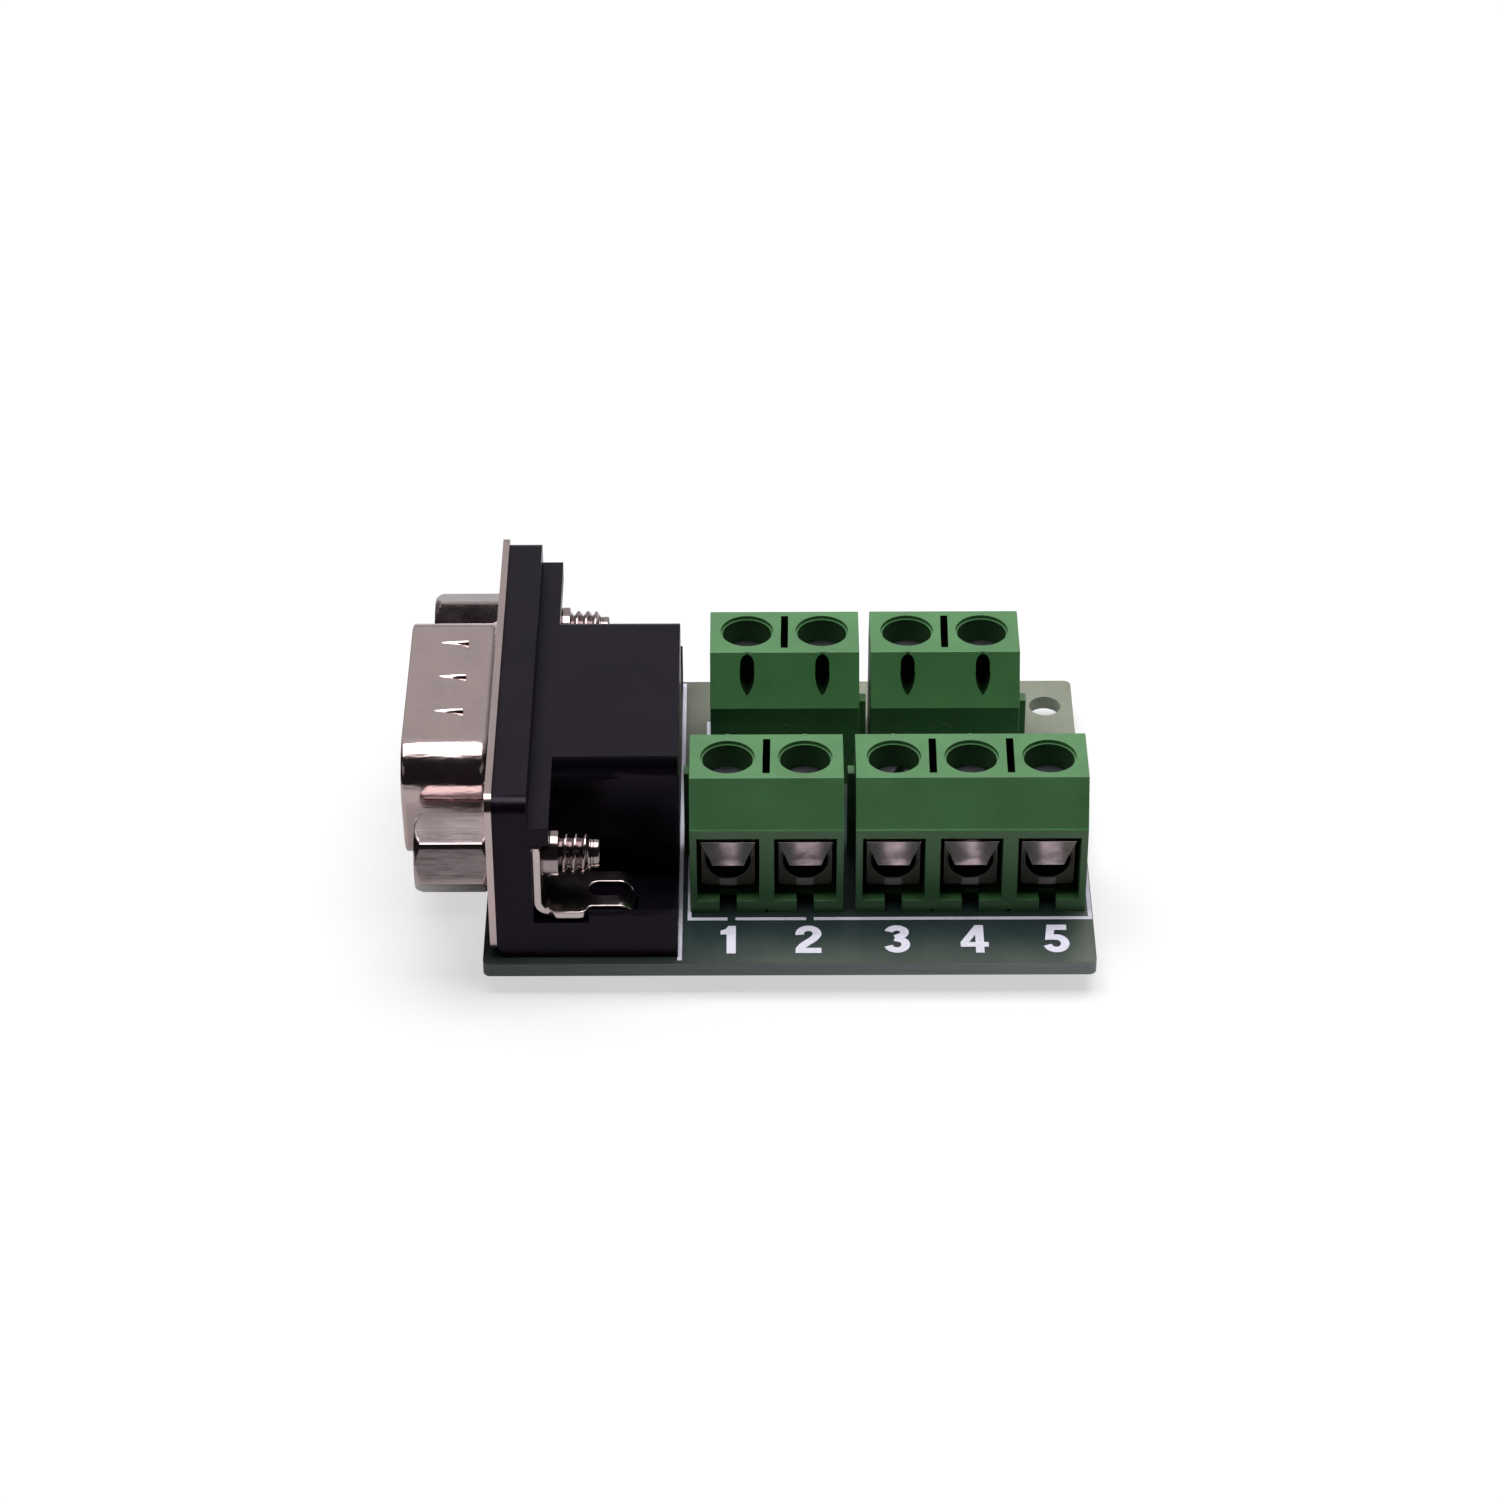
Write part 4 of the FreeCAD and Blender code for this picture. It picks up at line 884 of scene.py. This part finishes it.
# Each number's strokes and then its filled corners, 2.87 mm high, from its own left foot
NUMBERS = {
    "1": ([], [
        [(0.4, 0.0), (1.0, 0.0), (1.0, 2.87), (0.52, 2.87),
         (0.32, 2.52), (0.0, 2.38), (0.0, 1.98), (0.4, 1.98)],
    ]),
    "2": ([
        arc_points(0.87, 2.02, 0.57, 0.57, 190, -28)
        + [(1.18, 1.45), (0.82, 1.1), (0.5, 0.78), (0.3, 0.42), (0.26, 0.3)],
    ], [
        [(0.0, 0.0), (1.7, 0.0), (1.7, 0.53), (0.05, 0.53)],
    ]),
    "3": ([
        arc_points(0.85, 2.14, 0.52, 0.45, 170, -62) + [(0.78, 1.55)],
        [(0.7, 1.5)] + arc_points(0.84, 0.86, 0.58, 0.59, 80, -165),
    ], []),
    "4": ([], [
        [(0.98, 0.0), (1.53, 0.0), (1.53, 0.62), (0.98, 0.62)],
        [(0.0, 0.62), (1.83, 0.62), (1.83, 1.1), (0.0, 1.1)],
        [(0.98, 1.1), (1.53, 1.1), (1.53, 2.87), (0.98, 2.87)],
        [(0.0, 1.1), (0.56, 1.1), (0.98, 1.86), (0.98, 2.87)],
    ]),
    "5": ([
        [(0.5, 1.35)] + arc_points(0.84, 0.94, 0.59, 0.66, 128, -165),
    ], [
        [(0.3, 2.33), (1.58, 2.33), (1.58, 2.87), (0.3, 2.87)],
        [(0.12, 1.3), (0.62, 1.3), (0.78, 2.33), (0.3, 2.87)],
    ]),
    "6": ([
        arc_points(0.86, 0.9, 0.58, 0.62, -180, 180, 32),
        [(0.28, 0.9), (0.28, 1.5)] + arc_points(0.88, 1.75, 0.6, 0.85, 170, 25),
    ], []),
    "7": ([
        [(1.4, 2.6), (1.05, 2.0), (0.75, 1.2), (0.62, 0.5), (0.6, 0.0)],
    ], [
        [(0.05, 2.33), (1.7, 2.33), (1.7, 2.87), (0.05, 2.87)],
    ]),
    "8": ([
        arc_points(0.86, 2.15, 0.48, 0.44, -180, 180, 32),
        arc_points(0.86, 0.86, 0.57, 0.58, -180, 180, 32),
    ], []),
    "9": ([
        arc_points(0.86, 1.97, 0.58, 0.62, -180, 180, 32),
        [(1.44, 1.97), (1.44, 1.4)] + arc_points(0.84, 1.12, 0.6, 0.85, -10, -155),
    ], []),
}


def number(text, x, y, sign):
    """One printed number from its left foot. A sign of -1 turns it round that point."""
    bm = bmesh.new()
    strokes, corners = NUMBERS[text]
    outlines = [part for line in strokes for part in ribbon(line)] + corners
    # Each outline lies a hair above the one before, so that no two faces share a plane
    for i, outline in enumerate(outlines):
        top_z = 0.016 + 0.0006 * i
        top = [bm.verts.new(at(x + sign * u, y + sign * v, top_z)) for u, v in outline]
        foot = [bm.verts.new(at(x + sign * u, y + sign * v, 0.0)) for u, v in outline]
        bm.faces.new(top)
        bridge(bm, foot, top)
    publish(f"print_{text}", bm, [MAT["ink"]], "adapter", smooth=False)


for text, x in zip("12345", (15.48, 20.37, 26.18, 31.19, 36.6)):
    number(text, x, 1.04, 1.0)
for text, x in zip("6789", BACK_X):
    number(text, x + 0.86, 30.85, -1.0)


# Light, floor and camera


def area(name, power, size, place):
    """A soft lamp that looks at the middle of the part."""
    lamp = bpy.data.lights.new(name, "AREA")
    lamp.energy = power
    lamp.shape = "RECTANGLE"
    lamp.size, lamp.size_y = size
    obj = bpy.data.objects.new(name, lamp)
    bpy.context.scene.collection.objects.link(obj)
    obj.location = place
    obj.rotation_euler = (Vector((0, 0, 0.005)) - Vector(place)).to_track_quat("-Z", "Y").to_euler()


area("key", 2.5, (0.5, 0.3), (0.0, 0.05, 0.48))
area("fill", 0.06, (0.4, 0.2), (-0.35, -0.4, 0.42))


def studio_world():
    """A white studio whose light falls from behind and above, and fades towards the front."""
    world = bpy.data.worlds.new("studio")
    bpy.context.scene.world = world
    world.use_nodes = True
    nt = world.node_tree
    nt.nodes.clear()
    out = nt.nodes.new("ShaderNodeOutputWorld")
    coords = nt.nodes.new("ShaderNodeTexCoord")
    split = nt.nodes.new("ShaderNodeSeparateXYZ")
    nt.links.new(coords.outputs["Generated"], split.inputs[0])
    rise = nt.nodes.new("ShaderNodeMath")
    rise.operation = "MULTIPLY_ADD"
    # How far a direction points up and back
    rise.inputs[1].default_value = 0.95
    nt.links.new(split.outputs["Y"], rise.inputs[0])
    nt.links.new(split.outputs["Z"], rise.inputs[2])
    fade = level(nt, rise.outputs[0], 0.0, 1.0, 0.6, 1.2)
    sky = ramp(nt, fade, [(0.0, (0.03, 0.024, 0.028)), (1.0, (1.0, 1.0, 1.0))])
    seen = nt.nodes.new("ShaderNodeBackground")
    seen.inputs[0].default_value = (1, 1, 1, 1)
    glow = nt.nodes.new("ShaderNodeBackground")
    glow.inputs[1].default_value = 0.68
    nt.links.new(sky, glow.inputs[0])
    ray = nt.nodes.new("ShaderNodeLightPath")
    pick = nt.nodes.new("ShaderNodeMixShader")
    nt.links.new(ray.outputs["Is Camera Ray"], pick.inputs[0])
    nt.links.new(glow.outputs[0], pick.inputs[1])
    nt.links.new(seen.outputs[0], pick.inputs[2])
    nt.links.new(pick.outputs[0], out.inputs[0])


studio_world()


def studio_floor():
    """A plain pale floor that keeps the shadow and throws little light back up."""
    bm = bmesh.new()
    half = 3.0
    corners = ((-half, -half), (half, -half), (half, half), (-half, half))
    bm.faces.new([bm.verts.new((x, y, 0)) for x, y in corners])
    mesh = bpy.data.meshes.new("floor")
    bm.to_mesh(mesh)
    bm.free()
    mat, nt, sh = tree("floor_paper")
    path = nt.nodes.new("ShaderNodeLightPath")
    mirrored = blend_colour(nt, path.outputs["Is Glossy Ray"], (0.3, 0.3, 0.3), (0.72, 0.72, 0.72))
    shade = blend_colour(nt, path.outputs["Is Camera Ray"], mirrored, (0.95, 0.95, 0.95))
    nt.links.new(shade, sh.inputs["Base Color"])
    sh.inputs["Roughness"].default_value = 0.9
    sh.inputs["Specular IOR Level"].default_value = 0.0
    paper = nt.nodes.new("ShaderNodeEmission")
    both = nt.nodes.new("ShaderNodeMixShader")
    nt.links.new(level(nt, path.outputs["Is Camera Ray"], 0.0, 0.6), both.inputs[0])
    nt.links.new(sh.outputs[0], both.inputs[1])
    nt.links.new(paper.outputs[0], both.inputs[2])
    out = next(n for n in nt.nodes if n.type == "OUTPUT_MATERIAL")
    nt.links.new(both.outputs[0], out.inputs[0])
    mesh.materials.append(mat)
    obj = bpy.data.objects.new("floor", mesh)
    bpy.context.scene.collection.objects.link(obj)


studio_floor()


# The camera, fitted to the photograph: angles in degrees, lens in millimetres, place in board coordinates
CAMERA_DOWN = 36.456
CAMERA_YAW = -0.156
CAMERA_ROLL = -0.286
CAMERA_LENS = 110.07
CAMERA_PLACE = (18.109, -231.740, 188.480)


def photo_camera():
    """A long lens looking down along +Y."""
    elev = math.radians(CAMERA_DOWN)
    yaw = math.radians(CAMERA_YAW)
    roll = math.radians(CAMERA_ROLL)
    look = Vector((math.sin(yaw) * math.cos(elev), math.cos(yaw) * math.cos(elev), -math.sin(elev)))
    level_right = Vector((math.cos(yaw), -math.sin(yaw), 0))
    level_up = level_right.cross(look)
    right = level_right * math.cos(roll) + level_up * math.sin(roll)
    up = level_up * math.cos(roll) - level_right * math.sin(roll)
    cam = bpy.data.cameras.new("camera")
    cam.lens = CAMERA_LENS
    cam.sensor_width = 36.0
    cam.clip_start = 0.01
    cam.clip_end = 20.0
    obj = bpy.data.objects.new("camera", cam)
    bpy.context.scene.collection.objects.link(obj)
    basis = Matrix((right, up, -look)).transposed().to_4x4()
    basis.translation = at(*CAMERA_PLACE)
    obj.matrix_world = basis
    bpy.context.scene.camera = obj


photo_camera()
bpy.context.scene.view_settings.view_transform = "Standard"
